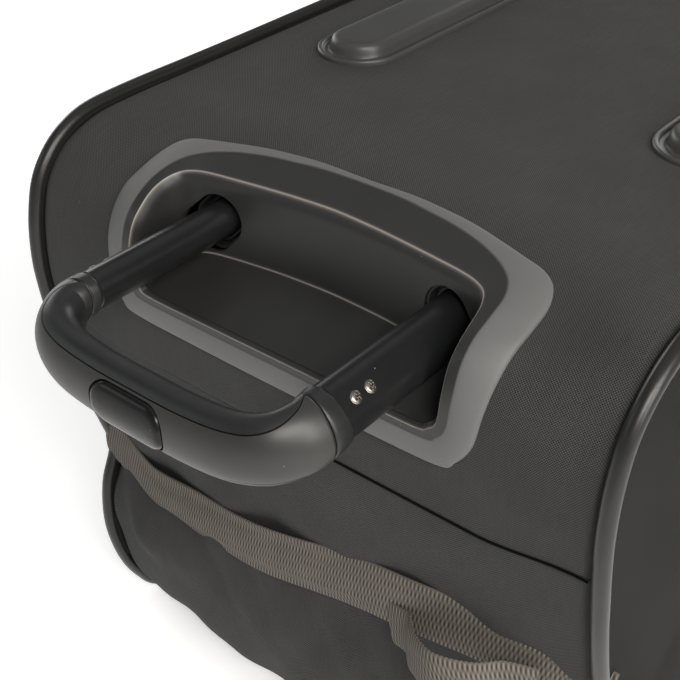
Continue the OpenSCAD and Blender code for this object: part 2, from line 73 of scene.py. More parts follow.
HEADING, DOWN, ROLL = 40.6, 34.7, -1.35
camera = bpy.data.objects.new("camera", bpy.data.cameras.new("camera"))
bpy.context.scene.collection.objects.link(camera)
bpy.context.scene.camera = camera
camera.data.lens = 64.3
camera.data.clip_start = 0.02
camera.matrix_world = (
    Matrix.Translation(place((306, -312, 252)))
    @ Matrix.Rotation(math.radians(HEADING), 4, "Z")
    @ Matrix.Rotation(math.radians(90 - DOWN), 4, "X")
    @ Matrix.Rotation(math.radians(ROLL), 4, "Z")
)

# ---- Floor and lights ----
# A plain white studio floor under one large overhead softbox. Two warm ones, above the
# camera and to its right, draw the highlights on the plastic; the rest fill the shadows.


def add(tree, kind, settings=None, **inputs):
    """A shader node with its settings and inputs. An input named i0, i1... goes by number,
    and one that is another node's output is linked."""
    made = tree.nodes.new(kind)
    for key, value in (settings or {}).items():
        setattr(made, key, value)
    for key, value in inputs.items():
        by_number = key[0] == "i" and key[1:].isdigit()
        socket = made.inputs[int(key[1:])] if by_number else made.inputs[key.replace("_", " ")]
        if isinstance(value, bpy.types.NodeSocket):
            tree.links.new(value, socket)
        else:
            socket.default_value = value
    return made


def grey(value, warm=0.0):
    """A grey between 0 and 1, a little warmer or cooler."""
    return (value * (1 + warm), value, value * (1 - warm), 1)


floor_half = 14
floor_mesh = bpy.data.meshes.new("studio_floor")
floor_mesh.from_pydata(
    [(-floor_half, -floor_half, 0), (floor_half, -floor_half, 0), (floor_half, floor_half, 0),
     (-floor_half, floor_half, 0)], [], [(0, 1, 2, 3)])
floor = bpy.data.objects.new("studio_floor", floor_mesh)
bpy.context.scene.collection.objects.link(floor)
floor_paint = bpy.data.materials.new("studio_floor")
floor_paint.use_nodes = True
floor_shader = floor_paint.node_tree.nodes["Principled BSDF"].inputs
floor_shader["Base Color"].default_value = grey(0.85)
floor_shader["Roughness"].default_value = 0.9
floor_shader["Emission Color"].default_value = (1, 1, 1, 1)
floor_shader["Emission Strength"].default_value = 0.46
floor_mesh.materials.append(floor_paint)

world = bpy.data.worlds.new("studio")
world.use_nodes = True
sky = world.node_tree
height = add(sky, "ShaderNodeSeparateXYZ", i0=add(sky, "ShaderNodeTexCoord").outputs["Generated"]).outputs[2]
wall = add(sky, "ShaderNodeMapRange", i0=height, i1=0.0, i2=0.5, i3=0.6, i4=0.06).outputs[0]
sky.links.new(wall, sky.nodes["Background"].inputs["Color"])
bpy.context.scene.world = world
bpy.context.scene.view_settings.view_transform = "Standard"


def softbox(name, at, aim, size, watts, colour=(1, 1, 1)):
    """A rectangular soft light of that size in metres, at a point, facing another."""
    light = bpy.data.lights.new(name, "AREA")
    light.shape = "RECTANGLE"
    light.size, light.size_y = size
    light.energy = watts
    light.color = colour
    lamp = bpy.data.objects.new(name, light)
    bpy.context.scene.collection.objects.link(lamp)
    turned = Vector(place(aim) - place(at)).to_track_quat("-Z", "Y").to_matrix().to_4x4()
    lamp.matrix_world = Matrix.Translation(place(at)) @ turned
    lamp.visible_camera = False


softbox("overhead", (-200, 500, 1900), (0, 400, 0), (2.4, 2.4), 9)
softbox("key", (960, -700, 950), (40, 0, -40), (0.45, 0.45), 18, (1, 0.97, 0.92))
softbox("front_left", (-900, -800, 600), (-40, 20, -40), (0.6, 0.5), 1.5, (0.93, 0.96, 1))
softbox("side_right", (1280, -130, 640), (70, -60, -40), (0.5, 0.9), 19, (1, 0.96, 0.9))
softbox("left_fill", (-2300, 900, 500), (0, 900, -150), (1.6, 1.0), 16)
softbox("wheel_end", (-600, 3200, 900), (0, 1700, -150), (1.5, 1.0), 18)

# ---- Shared surface effects ----
# Woven cloth, moulded grain, dust specks and worn edges, each a group that the materials
# below place with their own values.


def effect(name, inputs, outputs):
    """A shader node group with named inputs, each with its default, and named outputs."""
    group = bpy.data.node_groups.new(name, "ShaderNodeTree")
    for socket, value in inputs.items():
        kind = "NodeSocketVector" if value is None else "NodeSocketFloat"
        made = group.interface.new_socket(name=socket, in_out="INPUT", socket_type=kind)
        if value is not None:
            made.default_value = value
    for socket in outputs:
        group.interface.new_socket(name=socket, in_out="OUTPUT", socket_type="NodeSocketFloat")
    return group, add(group, "NodeGroupInput").outputs, add(group, "NodeGroupOutput").inputs


def maths(tree, operation, *values):
    """A Math node's output."""
    return add(tree, "ShaderNodeMath", {"operation": operation},
               **{f"i{k}": v for k, v in enumerate(values)}).outputs[0]


# Plain weave: the product of a sine along each thread direction, so that over and under
# alternate, with slow mottling and slubs along the threads
weave, given, gives = effect("weave", {"Vector": None, "Pitch": 0.00064}, ("Height", "Mottle"))
turns = maths(weave, "DIVIDE", 2 * math.pi, given["Pitch"])
threads = add(weave, "ShaderNodeVectorMath", {"operation": "SCALE"}, i0=given["Vector"], Scale=turns)
axes = add(weave, "ShaderNodeSeparateXYZ", i0=threads.outputs[0]).outputs
over_under = maths(weave, "MULTIPLY", maths(weave, "SINE", axes[0]), maths(weave, "SINE", axes[1]))
weave.links.new(maths(weave, "MULTIPLY_ADD", over_under, 0.5, 0.5), gives["Height"])
slubs = add(weave, "ShaderNodeMapping", i0=given["Vector"], Scale=(900, 60, 1))
slub = add(weave, "ShaderNodeTexNoise", Vector=slubs.outputs[0], Scale=1.0, Detail=2.0)
blotch = add(weave, "ShaderNodeTexNoise", Vector=given["Vector"], Scale=26.0, Detail=3.0)
weave.links.new(maths(weave, "MULTIPLY", slub.outputs[0], blotch.outputs[0]), gives["Mottle"])

# Spark-eroded grain of a mould, and the slow clouding of its sheen
grain, given, gives = effect("grain", {"Vector": None, "Size": 0.0008}, ("Height", "Cloud"))
scale = maths(grain, "DIVIDE", 1.0, given["Size"])
fine = add(grain, "ShaderNodeTexNoise", Vector=given["Vector"], Scale=scale, Detail=2.0)
cloud = add(grain, "ShaderNodeTexNoise", Vector=given["Vector"], Scale=34.0, Detail=4.0)
grain.links.new(fine.outputs[0], gives["Height"])
grain.links.new(cloud.outputs[0], gives["Cloud"])

# Small round specks of dust, scattered one to a cell
dust, given, gives = effect("dust", {"Vector": None, "Cells": 95.0, "Size": 0.022}, ("Mask",))
cells = add(dust, "ShaderNodeTexVoronoi", Vector=given["Vector"], Scale=given["Cells"])
near = maths(dust, "LESS_THAN", cells.outputs["Distance"], given["Size"])
pick = add(dust, "ShaderNodeSeparateColor", i0=cells.outputs["Color"]).outputs[0]
dust.links.new(maths(dust, "MULTIPLY", near, maths(dust, "GREATER_THAN", pick, 0.55)), gives["Mask"])

# Worn edges: where the mesh is convex, broken up by noise
worn, given, gives = effect("worn_edges", {"Vector": None, "Reach": 0.06}, ("Mask",))
convex = add(worn, "ShaderNodeNewGeometry").outputs["Pointiness"]
raised = maths(worn, "SUBTRACT", convex, maths(worn, "SUBTRACT", 0.56, given["Reach"]))
patchy = add(worn, "ShaderNodeTexNoise", Vector=given["Vector"], Scale=220.0, Detail=4.0)
mask = maths(worn, "MULTIPLY", maths(worn, "MULTIPLY", raised, 6.0), patchy.outputs[0])
worn.links.new(add(worn, "ShaderNodeClamp", i0=mask).outputs[0], gives["Mask"])


def use(tree, group, **inputs):
    """The outputs of an effect placed in a material."""
    return add(tree, "ShaderNodeGroup", {"node_tree": group}, **inputs).outputs


def blend_colour(tree, share, low, high):
    """A colour between two, by a share from 0 to 1."""
    ramp = add(tree, "ShaderNodeMix", {"data_type": "RGBA"}, i0=share)
    for socket, value in ((ramp.inputs[6], low), (ramp.inputs[7], high)):
        if isinstance(value, bpy.types.NodeSocket):
            tree.links.new(value, socket)
        else:
            socket.default_value = value
    return ramp.outputs[2]


def finish_named(name, **constants):
    """A new material and its Principled shader, with the constants set on its sockets."""
    made = bpy.data.materials.new(name)
    made.use_nodes = True
    shader = made.node_tree.nodes["Principled BSDF"]
    for socket, value in constants.items():
        shader.inputs[socket.replace("_", " ")].default_value = value
    return made, made.node_tree, shader


def cloth(name, thread, gap, pitch=1.25, relief=0.2, roughness=0.85, flat=False, ribs=1.0):
    """Woven cloth: light threads over darker gaps. flat takes object coordinates, where the
    piece has no map of its own; ribs below 1 draws each thread out across a strap."""
    made, tree, shader = finish_named(name, Roughness=roughness, Sheen_Weight=0.02,
                                      Sheen_Roughness=0.5, Specular_IOR_Level=0.1)
    source = add(tree, "ShaderNodeTexCoord").outputs["Object" if flat else "UV"]
    drawn = add(tree, "ShaderNodeMapping", i0=source, Scale=(ribs, 1, 1)).outputs[0]
    woven = use(tree, weave, Vector=drawn, Pitch=pitch * MM)
    lit = maths(tree, "MULTIPLY_ADD", woven["Height"], 0.95, maths(tree, "MULTIPLY", woven["Mottle"], 0.4))
    colour = blend_colour(tree, lit, gap, thread)
    where = add(tree, "ShaderNodeTexCoord").outputs["Object"]
    specks = use(tree, dust, Vector=where, Cells=60.0, Size=0.012)["Mask"]
    colour = blend_colour(tree, maths(tree, "MULTIPLY", specks, 0.5), colour, grey(0.35))
    tree.links.new(colour, shader.inputs["Base Color"])
    bump = add(tree, "ShaderNodeBump", Strength=0.6, Distance=relief * MM, Height=woven["Height"])
    tree.links.new(bump.outputs[0], shader.inputs["Normal"])
    return made


def moulded(name, colour, roughness, grain_size=0.8, relief=0.02, wear=0.25, dusty=0.35,
            metallic=0.0, specular=0.35, matt=None):
    """Moulded plastic, vinyl or metal: grain in relief, clouded sheen, pale worn edges. matt
    is the colour of a duller finish, where the mesh's own attribute of that name is 1, and a
    second attribute marks lips where a painted highlight, a pale warm grey, is mixed in."""
    made, tree, shader = finish_named(name, Metallic=metallic, Specular_IOR_Level=specular)
    where = add(tree, "ShaderNodeTexCoord").outputs["Object"]
    skin = use(tree, grain, Vector=where, Size=grain_size * MM)
    wear_and_lip_highlight = use(tree, worn, Vector=where)["Mask"]
    specks = use(tree, dust, Vector=where)["Mask"]
    darker = tuple(c * 0.8 for c in colour[:3]) + (1,)
    lighter = tuple(min(1, c * 1.25) for c in colour[:3]) + (1,)
    tone = blend_colour(tree, skin["Cloud"], darker, lighter)
    pale = tuple(min(1, c * 2 + 0.02) for c in colour[:3]) + (1,)
    if matt:
        dull = add(tree, "ShaderNodeAttribute", {"attribute_name": "matt"}).outputs["Fac"]
        lip_highlight_mask = add(tree, "ShaderNodeAttribute", {"attribute_name": "wear_and_lip_highlight"}).outputs["Fac"]
        tone = blend_colour(tree, dull, tone, matt)
        # painted highlight: a pale warm grey mixed into the colour along the marked lips
        tone = blend_colour(tree, lip_highlight_mask, tone, grey(0.3, 0.1))
    tone = blend_colour(tree, maths(tree, "MULTIPLY", wear_and_lip_highlight, wear), tone, pale)
    tone = blend_colour(tree, maths(tree, "MULTIPLY", specks, dusty), tone, grey(0.4))
    tree.links.new(tone, shader.inputs["Base Color"])
    sheen = maths(tree, "MULTIPLY_ADD", skin["Cloud"], 0.12, roughness - 0.06)
    if matt:
        sheen = maths(tree, "MULTIPLY_ADD", dull, 0.2, sheen)
    tree.links.new(sheen, shader.inputs["Roughness"])
    bump = add(tree, "ShaderNodeBump", Strength=0.5, Distance=relief * MM, Height=skin["Height"])
    tree.links.new(bump.outputs[0], shader.inputs["Normal"])
    return made


# ---- Back panel ----
# Polyester pack cloth laminated to foam, stretched over a stiff board. It turns down over
# the handle end, where the tray is let into it, and is sewn to the sides with piping.


def smooth(points, steps, loop=False):
    """Catmull-Rom curve through the points: a cubic between each two, whose slope at a point
    is half the step between its neighbours. loop joins the last point to the first."""
    p = np.asarray(points, float)
    ends = (p[-1:], p[:2]) if loop else (2 * p[:1] - p[1:2], 2 * p[-1:] - p[-2:-1])
    p = np.concatenate([ends[0], p, ends[1]])
    t = (np.arange(steps) / steps).reshape((1, steps) + (1,) * (p.ndim - 1))
    a, b, c, d = (q[:, None] for q in (p[:-3], p[1:-2], p[2:-1], p[3:]))
    curve = 0.5 * (2 * b + (c - a) * t + (2 * a - 5 * b + 4 * c - d) * t**2
                   + (3 * b - a - 3 * c + d) * t**3)
    curve = curve.reshape((-1,) + p.shape[1:])
    return curve if loop else np.concatenate([curve, p[-2:-1]])


def rounded(rows, steps):
    """Cubic B-spline across rows of points: each row pulls the surface towards it without
    being reached, and a row given twice makes a tighter corner."""
    p = np.asarray(rows, float)
    p = np.concatenate([2 * p[:1] - p[1:2], p, 2 * p[-1:] - p[-2:-1]])
    t = (np.arange(steps) / steps).reshape((1, steps) + (1,) * (p.ndim - 1))
    a, b, c, d = (q[:, None] for q in (p[:-3], p[1:-2], p[2:-1], p[3:]))
    curve = ((1 - t) ** 3 * a + (3 * t**3 - 6 * t**2 + 4) * b
             + (1 + 3 * t + 3 * t**2 - 3 * t**3) * c + t**3 * d) / 6
    return np.concatenate([curve.reshape((-1,) + p.shape[1:]), p[-2:-1]])


def ease(x):
    """0 up to 0, 1 from 1, and a smooth S between them."""
    x = np.clip(x, 0, 1)
    return x * x * (3 - 2 * x)


def mix(a, b, share):
    """A share of the way from a to b."""
    return a + (b - a) * share


def ripple(a, b, *waves):
    """Sum of sine waves over two directions: each has a height, a wavelength in either
    direction and a phase."""
    return sum(high * np.sin(2 * math.pi * (a / long_a + b / long_b) + phase)
               for high, long_a, long_b, phase in waves)


def piece(name, points, faces, maps, material, body, slot, sharp=38):
    """A mesh piece from points in millimetres, faces of their numbers and one map point for
    each corner of each face. It rides on a body and takes its finish from the material; slot is not used."""
    mesh = bpy.data.meshes.new(name)
    mesh.from_pydata(place(points).tolist(), [], faces)
    mesh.uv_layers.new(name="lengths").data.foreach_set("uv", np.asarray(maps, np.float32).ravel())
    mesh.polygons.foreach_set("use_smooth", np.ones(len(mesh.polygons), bool))
    mesh.set_sharp_from_angle(angle=math.radians(sharp))
    mesh.materials.append(material)
    made = bpy.data.objects.new(name, mesh)
    bpy.context.scene.collection.objects.link(made)
    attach(made, body)
    return made


def grid_faces(grid, around=False, ring=False, capped=False, facing=None, drop=None):
    """Points, faces and map of a grid of points shaped (rows, columns, 3). around joins the
    last column to the first and ring the last row; capped closes both end rows with a face;
    facing is the way an open sheet looks; drop marks squares left out. The map holds the
    lengths along the row and the column, in metres. Closed shapes are turned outwards: the
    sum of each face's middle times its area vector is three times the volume."""
    grid = np.asarray(grid, float)
    n, m = grid.shape[:2]
    wide = np.concatenate([grid, grid[:, :1]], 1) if around else grid
    wide = np.concatenate([wide, wide[:1]], 0) if ring else wide
    across = np.cumsum(np.linalg.norm(np.diff(wide, axis=1, prepend=wide[:, :1]), axis=2), 1)
    along = np.cumsum(np.linalg.norm(np.diff(wide, axis=0, prepend=wide[:1]), axis=2), 0)
    i, j = np.meshgrid(np.arange(wide.shape[0] - 1), np.arange(wide.shape[1] - 1), indexing="ij")
    i, j = i.ravel(), j.ravel()
    if drop is not None:
        i, j = i[~drop.ravel()], j[~drop.ravel()]
    rows, cols = np.stack([i, i, i + 1, i + 1], 1), np.stack([j, j + 1, j + 1, j], 1)
    corner = wide[rows, cols]
    area = np.cross(corner[:, 2] - corner[:, 0], corner[:, 3] - corner[:, 1])
    middle = corner.mean(1) - grid.reshape(-1, 3).mean(0)
    inward = (area @ np.asarray(facing, float)).sum() < 0 if facing is not None \
        else (area * middle).sum() < 0
    if inward:
        rows, cols = rows[:, ::-1], cols[:, ::-1]
    faces = ((rows % n) * m + cols % m).tolist()
    maps = np.stack([across[rows, cols], along[rows, cols]], -1).reshape(-1, 2) * MM
    if capped:
        first, last = list(range(m - 1, -1, -1)), list(range((n - 1) * m, n * m))
        if inward:
            first, last = first[::-1], last[::-1]
        faces += [first, last]
        flat = grid.reshape(-1, 3)[np.array(first + last)][:, :2] * MM
        maps = np.concatenate([maps, flat])
    return grid.reshape(-1, 3), faces, maps


def joined(*parts):
    """Several (points, faces, map) as one."""
    points, faces, maps, start = [], [], [], 0
    for p, f, m in parts:
        points.append(p)
        faces += [np.add(face, start).tolist() for face in f]
        maps.append(m)
        start += len(p)
    return np.concatenate(points), faces, np.concatenate(maps)


def thicken(made, thickness):
    """Gives an open sheet its thickness, inwards."""
    solid = made.modifiers.new("thickness", "SOLIDIFY")
    solid.thickness = thickness * MM
    solid.offset = -1
    solid.use_even_offset = True


half_w = 162.5
flat_y = 110
panel_end = 1662
beside_tray = [(1, -101), (0.2, -86), (0, -72), (1, -50), (4, -35.5), (10, -25), (20, -17),
               (37, -11), (55, -3.8), (80, 0), (flat_y, 0)]
at_edge = [(2.5, -96), (1.4, -86), (0.5, -72), (1.2, -57), (3.4, -43), (8.4, -27.5), (17, -15.8),
           (29, -7), (46, -1.4), (75, 0), (flat_y, 0)]


def cross_steps():
    """Columns across the bag, closer together beside the piping."""
    t = np.linspace(-1, 1, 141)
    return half_w * (t + 0.06 * np.sin(math.pi * t))


def corner_of(x, beside, edge):
    """Rows of a surface that follows one (y, z) profile in the middle and another at the
    sides, for each x."""
    share = ease((np.abs(x) - 108) / 50)[None, :, None]
    yz = mix(np.asarray(beside)[:, None], np.asarray(edge)[:, None], share)
    return np.concatenate([np.broadcast_to(x[None, :, None], yz.shape[:2] + (1,)), yz], 2)


def tuck(x, depth=3.0):
    """Rolls the sheet's edges in beside the piping."""
    return depth * ease((np.abs(x) - half_w + 7) / 7) ** 2


cloth_dark = cloth("pack_cloth", grey(0.066), grey(0))
columns = cross_steps()
turn = corner_of(columns, smooth(beside_tray, 9), smooth(at_edge, 9))
run_y = np.linspace(flat_y, panel_end, 150)[1:]
run = np.stack(np.broadcast_arrays(columns[None, :], run_y[:, None], 0.0), 2)
back = np.concatenate([turn, run])
wavy = ripple(back[..., 0], back[..., 1],
              (0.35, 190, 310, 0.4), (0.25, -120, 240, 1.9), (0.15, 60, 95, 2.2))
calm = ease((back[..., 1] - 80) / 60) * ease((150 - np.abs(back[..., 0])) / 25)
back[..., 2] += wavy * calm
sink = tuck(columns)
normal_y = -ease((40 - back[..., 1]) / 40)
back[..., 1] -= sink * normal_y
back[..., 2] -= sink * (1 + normal_y)
mid = (back[1:, 1:] + back[:-1, :-1]) / 2
hidden = (np.abs(mid[..., 0]) < 101) & (mid[..., 1] < 52) & (mid[..., 2] > -64)
back_sheet = piece("back_panel_cloth", *grid_faces(back, facing=(0, -0.3, 1), drop=hidden),
                   cloth_dark, "root", "bag_fabric")
thicken(back_sheet, 3)
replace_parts(back_sheet, "back_panel")

# ---- Handle end panel ----
# The same cloth, unboarded, from the seam across the end down to the lid. It hangs slack, so
# it pinches in at the webbing and bellies out below it.

seam_edge = [(2.5, -96), (7, -125), (15, -158), (25, -190), (29, -212), (20, -236), (17, -266),
             (22, -296), (32, -320), (48, -340), (84, -349)]
seam_mid = [(1, -101), (2.5, -122), (7, -152), (12, -186), (13.5, -206), (9, -235), (8, -266),
            (14, -300), (28, -328), (50, -345), (84, -349)]


def end_yz(x, rows):
    """The slack end panel's rows: the edge profile and the middle one, mixed by the square
    of the distance from the middle."""
    share = (np.abs(x) / half_w)[None, :, None] ** 2.2
    yz = mix(smooth(seam_mid, rows)[:, None], smooth(seam_edge, rows)[:, None], share)
    return np.concatenate([np.broadcast_to(x[None, :, None], yz.shape[:2] + (1,)), yz], 2)


slack = end_yz(columns, 10)
drop_z = slack[..., 2]
creased = ripple(slack[..., 0], drop_z, (1.1, 95, 160, 0.3), (0.8, -70, 110, 1.2), (0.5, 38, -60, 2.6))
below = ease((-120 - drop_z) / 60) * ease((drop_z + 345) / 30)
left_puff = 7 * np.exp(-((slack[..., 0] + 118) / 30) ** 2 - ((drop_z + 246) / 16) ** 2)
gather = 1.6 * np.sin(slack[..., 0] * 0.16 + drop_z * 0.09) * np.exp(-((drop_z + 232) / 26) ** 2)
slack[..., 1] -= (creased + gather) * below + left_puff
slack[..., 1] += tuck(columns)
end_sheet = piece("handle_end_cloth", *grid_faces(slack, facing=(0, -1, -0.2)), cloth_dark, "root",
                  "bag_fabric")
thicken(end_sheet, 3)
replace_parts(end_sheet, "handle_end_panel")


def sweep(path, section, up=(0, 0, 1), loop=False):
    """Carries a section of (side, over) distances along a path: side is square to the path
    and to up, and over is square to both. The section may be given for each path point."""
    path, section = np.asarray(path, float), np.asarray(section, float)
    ahead = np.roll(path, -1, 0) - np.roll(path, 1, 0) if loop else np.gradient(path, axis=0)
    ahead /= np.linalg.norm(ahead, axis=1, keepdims=True)
    side = np.cross(ahead, np.broadcast_to(up, ahead.shape))
    side /= np.linalg.norm(side, axis=1, keepdims=True)
    over = np.cross(side, ahead)
    if section.ndim == 2:
        section = section[None]
    return path[:, None] + section[..., :1] * side[:, None] + section[..., 1:2] * over[:, None]


def circle(radius, count):
    """Points round a circle."""
    a = np.arange(count) * 2 * math.pi / count
    return radius * np.stack([np.cos(a), np.sin(a)], 1)


# The seam itself: a fine ridge of folded cloth, which dips to the left under the grip.
# It is coloured near black, a painted shadow line along the seam.
seam_x = columns[1:-1]
seam_share = ease((np.abs(seam_x) - 108) / 50)
seam_line = np.stack([seam_x, mix(0.6, 2.0, seam_share), mix(-101, -96, seam_share)], 1)
seam_line += ease((25 - seam_x) / 70)[:, None] * (0, 1.4, -17)
# near black: a painted shadow line, much darker than the cloth's own colour
seam_shadow_black = moulded("painted_seam_shadow", grey(0.002), 0.9, relief=0.05, wear=0, dusty=0, specular=0.1)
seam_ridge = grid_faces(sweep(seam_line, circle(0.55, 12)), around=True, capped=True)
piece("end_seam", *seam_ridge, seam_shadow_black, "root", "bag_fabric")

# ---- Side panels ----
# Cloth over soft foam, one panel on each side. They belly out between the piping and the
# zip, with slack folds beside the piping at the handle end.

side_x = 169
end_edge = smooth(seam_edge, 6)
corner_edge = smooth(at_edge, 6)
bottom_z = -296
wheel_corner = [(1735, 0), (1752, -3), (1767, -13), (1777, -28), (1780, -48), (1779, -120), (1776, -200)]
wheel_edge = smooth(wheel_corner + [(1776, bottom_z)], 8)
cloth_side = cloth("side_cloth", grey(0.014, -0.03), grey(0.002, -0.03), pitch=1.4, relief=0.2)
spine_z = -165


def side_panel(name, s, bottom, node):
    """Rings from the rim in to the panel's middle line, each moved out by its share of the
    belly, with folds that run up from the lower front to the piping."""
    level = np.linspace(175, 1605, 111)
    start = smooth([(150, -1), (162, -1)], 3)[:-1]
    top = np.stack([level, np.full_like(level, -1.0)], 1)
    wheel_end = wheel_edge[wheel_edge[:, 1] > bottom + 1]
    rear = np.concatenate([[(1660, -1), (1700, -1)], wheel_end, [(1700, bottom), (1650, bottom)]])
    low = np.stack([level[::-1], np.full_like(level, bottom)], 1)
    low_front = [(150, bottom), (125, bottom), (95, bottom), (70, bottom)]
    handle_end = np.concatenate([corner_edge[::-1], end_edge[1:]])
    handle_end = handle_end[handle_end[:, 1] > bottom + 4][:0:-1]
    rim = np.concatenate([start, top, rear, low, low_front, handle_end])
    spine = np.stack([np.clip(rim[:, 0], level[0], level[-1]), np.full(len(rim), spine_z)], 1)
    t = np.linspace(0, 1, 34)[:, None, None] ** 1.25
    yz = mix(rim[None], spine[None], t)
    share = t[..., 0]
    y, z = yz[..., 0], yz[..., 1]
    belly = 11 * np.sin(share * math.pi / 2) ** 0.8
    fade = ease(share * 5) * ease((520 - y) / 260)
    folds = 2.6 * np.sin((y + 0.75 * z) / 19 + 0.6) * np.exp(-((y - 90) / 90) ** 2)
    slack_waves = ripple(y, z, (0.9, 140, 230, 0.2), (0.6, 330, -160, 1.0), (0.4, 90, 75, 2.0))
    x = side_x - 3.5 + belly + folds * fade + slack_waves * ease(share * 4)
    grid = np.stack([s * x, y, z], 2)
    made = piece(name, *grid_faces(grid, around=True, facing=(s, 0, 0)), cloth_side, "root",
                 "side_fabric")
    weld = made.modifiers.new("close_middle", "WELD")
    weld.merge_threshold = 0.05 * MM
    thicken(made, 4)
    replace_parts(made, node)


side_panel("side_cloth_left", -1, bottom_z - 8, "side_panel_left")
side_panel("side_cloth_right", 1, bottom_z, "side_panel_right")

# ---- Piping ----
# Cord wrapped in glossy vinyl and sewn into the seam between the back panel and each side.
# It follows the edge over both ends of the bag and down to the lid.

vinyl = moulded("piping_vinyl", grey(0.01, 0.02), 0.34, grain_size=1.6, relief=0.015, wear=0.2)
piping_x, piping_r = 166, 3.9
over_front = np.concatenate([end_edge[::-1], corner_edge[1:]])
over_back = smooth(wheel_corner + [(1776, -300), (1764, -330), (1735, -346), (1700, -349)], 8)
level = np.linspace(130, 1725, 160)
line = np.concatenate([over_front, np.stack([level, np.zeros_like(level)], 1), over_back])
wave = 0.35 * np.sin(line[:, 0] / 31 + line[:, 1] / 23)
for s, side in ((-1, "left"), (1, "right")):
    path = np.column_stack([s * (piping_x + wave), line])
    tube = grid_faces(sweep(path, circle(piping_r, 20), up=(1, 0, 0)), around=True, capped=True)
    made = piece(f"piping_{side}_cord", *tube, vinyl, "root", "piping_vinyl")
    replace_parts(made, f"piping_{side}")

# ---- Tray ----
# One satin moulding let into the corner of the bag: a flange that lies on the cloth, a
# raised ring, and a deep recess with two oval holes in its back wall for the tubes.

# Right half of each outline, from the top middle round to the bottom middle
tray_edge = [(0, 67.5, -0.3), (25, 68.3, -0.4), (43, 67.2, -0.7), (60, 64.8, -1.1), (76, 61, -1.8),
             (90, 57.2, -2.4), (100, 55, -3.6), (106.8, 51, -6), (110.6, 43, -9.2), (111.3, 31, -12.8),
             (110.9, 18.5, -17.5), (109.8, 8.3, -28), (108, 2.6, -41), (105.3, 0.8, -56),
             (98.5, -0.4, -66.5), (90, -0.6, -71.4), (50, -0.7, -72.5), (0, -0.7, -73)]
ring_edge = [(0, 63.5, 1.8), (22.5, 63, 1.6), (38, 61, 1.2), (52.5, 58.9, 0.7), (67.1, 55.5, -0.4),
             (77.6, 51.5, -1.65), (85, 47.5, -3), (91, 42, -4.6), (94.5, 34, -6.6), (95.5, 23, -9.6),
             (95.1, 12, -15), (95.2, 4, -23.5), (95, -0.6, -37), (93.5, -1.8, -51),
             (89, -1.9, -57.5), (82, -2, -60.6), (45, -2, -61), (0, -2, -61)]
lip = [(0, 44, -4), (19, 43.2, -4.2), (33, 42.2, -4.5), (46, 41, -4.8), (60, 39.6, -5.2),
       (71.7, 38.1, -5.45), (80, 36.2, -6), (85.8, 32.8, -7), (89.2, 26, -8.8), (90.3, 17.5, -12),
       (90.3, 9.5, -17.5), (90.4, 3, -25), (90.3, -0.9, -37), (89, -1.8, -50),
       (85, -1.9, -54.8), (78, -2, -57.3), (43, -2, -57.5), (0, -2, -57.5)]
mouth = [(0, 42, -8), (19, 41.4, -8.2), (33, 40.5, -8.5), (45.5, 39.3, -8.8), (59, 37.9, -9.2),
         (70.5, 36.4, -9.5), (78.5, 34.5, -10), (84, 31.2, -11), (87.2, 26, -12.6), (88.2, 19.5, -15.5),
         (88.2, 12.5, -20.5), (88.3, 6.5, -27), (88.2, 3, -38), (87.2, 2, -49),
         (83.5, 1, -53.8), (77, 0.5, -56), (42.5, 0.5, -56.6), (0, 0.5, -56.6)]
foot = [(0, 41), (19, 40.5), (33, 39.7), (45, 38.6), (58, 37.2), (69, 35.6), (76.5, 33.4), (81.5, 30),
        (84.6, 25.5), (85.6, 20.5), (85.9, 15), (86, 10.5), (85.8, 7), (84.8, 4.5), (81.5, 2.4),
        (76, 1.6), (42, 1.6), (0, 1.6)]


def outline(half):
    """Closed outline from its right half and the mirror image of it."""
    half = np.asarray(half, float)
    return smooth(np.concatenate([half, half[-2:0:-1] * (-1, 1, 1)]), 6, loop=True)


def floor_point(x, y):
    """A point of the recess's floor, which slopes down towards the rim."""
    return np.stack([x, y, -46 - 0.27 * (41.5 - y)], -1)


def lift(ring, height):
    """Moves points out of the rounded corner, away from a line inside it."""
    away = ring - np.stack([ring[:, 0], np.full(len(ring), 72.0), np.full(len(ring), -72.0)], 1)
    return ring + height * away / np.linalg.norm(away, axis=1, keepdims=True)


foot = floor_point(*np.asarray(foot, float).T)
tray_edge, ring_edge, lip, mouth, foot = map(outline, (tray_edge, ring_edge, lip, mouth, foot))
inner = floor_point(foot[:, 0] * 0.9, mix(20, foot[:, 1], 0.62))
flange = ((0.07, 1.9), (0.35, 2.0), (0.7, 1.3), (0.92, 0.5))
tray_rows = [lift(tray_edge, -3), tray_edge, lift(tray_edge, 1.3)]
tray_rows += [lift(mix(tray_edge, ring_edge, k), up) for k, up in flange]
tray_rows += [ring_edge] + [mix(ring_edge, lip, k) for k in (0.15, 0.5, 0.85)] + [lip, lip]
tray_rows += [mouth] + [mix(mouth, foot, k) for k in (0.08, 0.5, 0.86)] + [foot, foot]
tray_rows += [mix(foot, inner, 0.35), inner]
tray_grid = rounded(tray_rows, 3)
points, faces, maps = grid_faces(tray_grid, around=True, facing=(0, -0.4, 1))

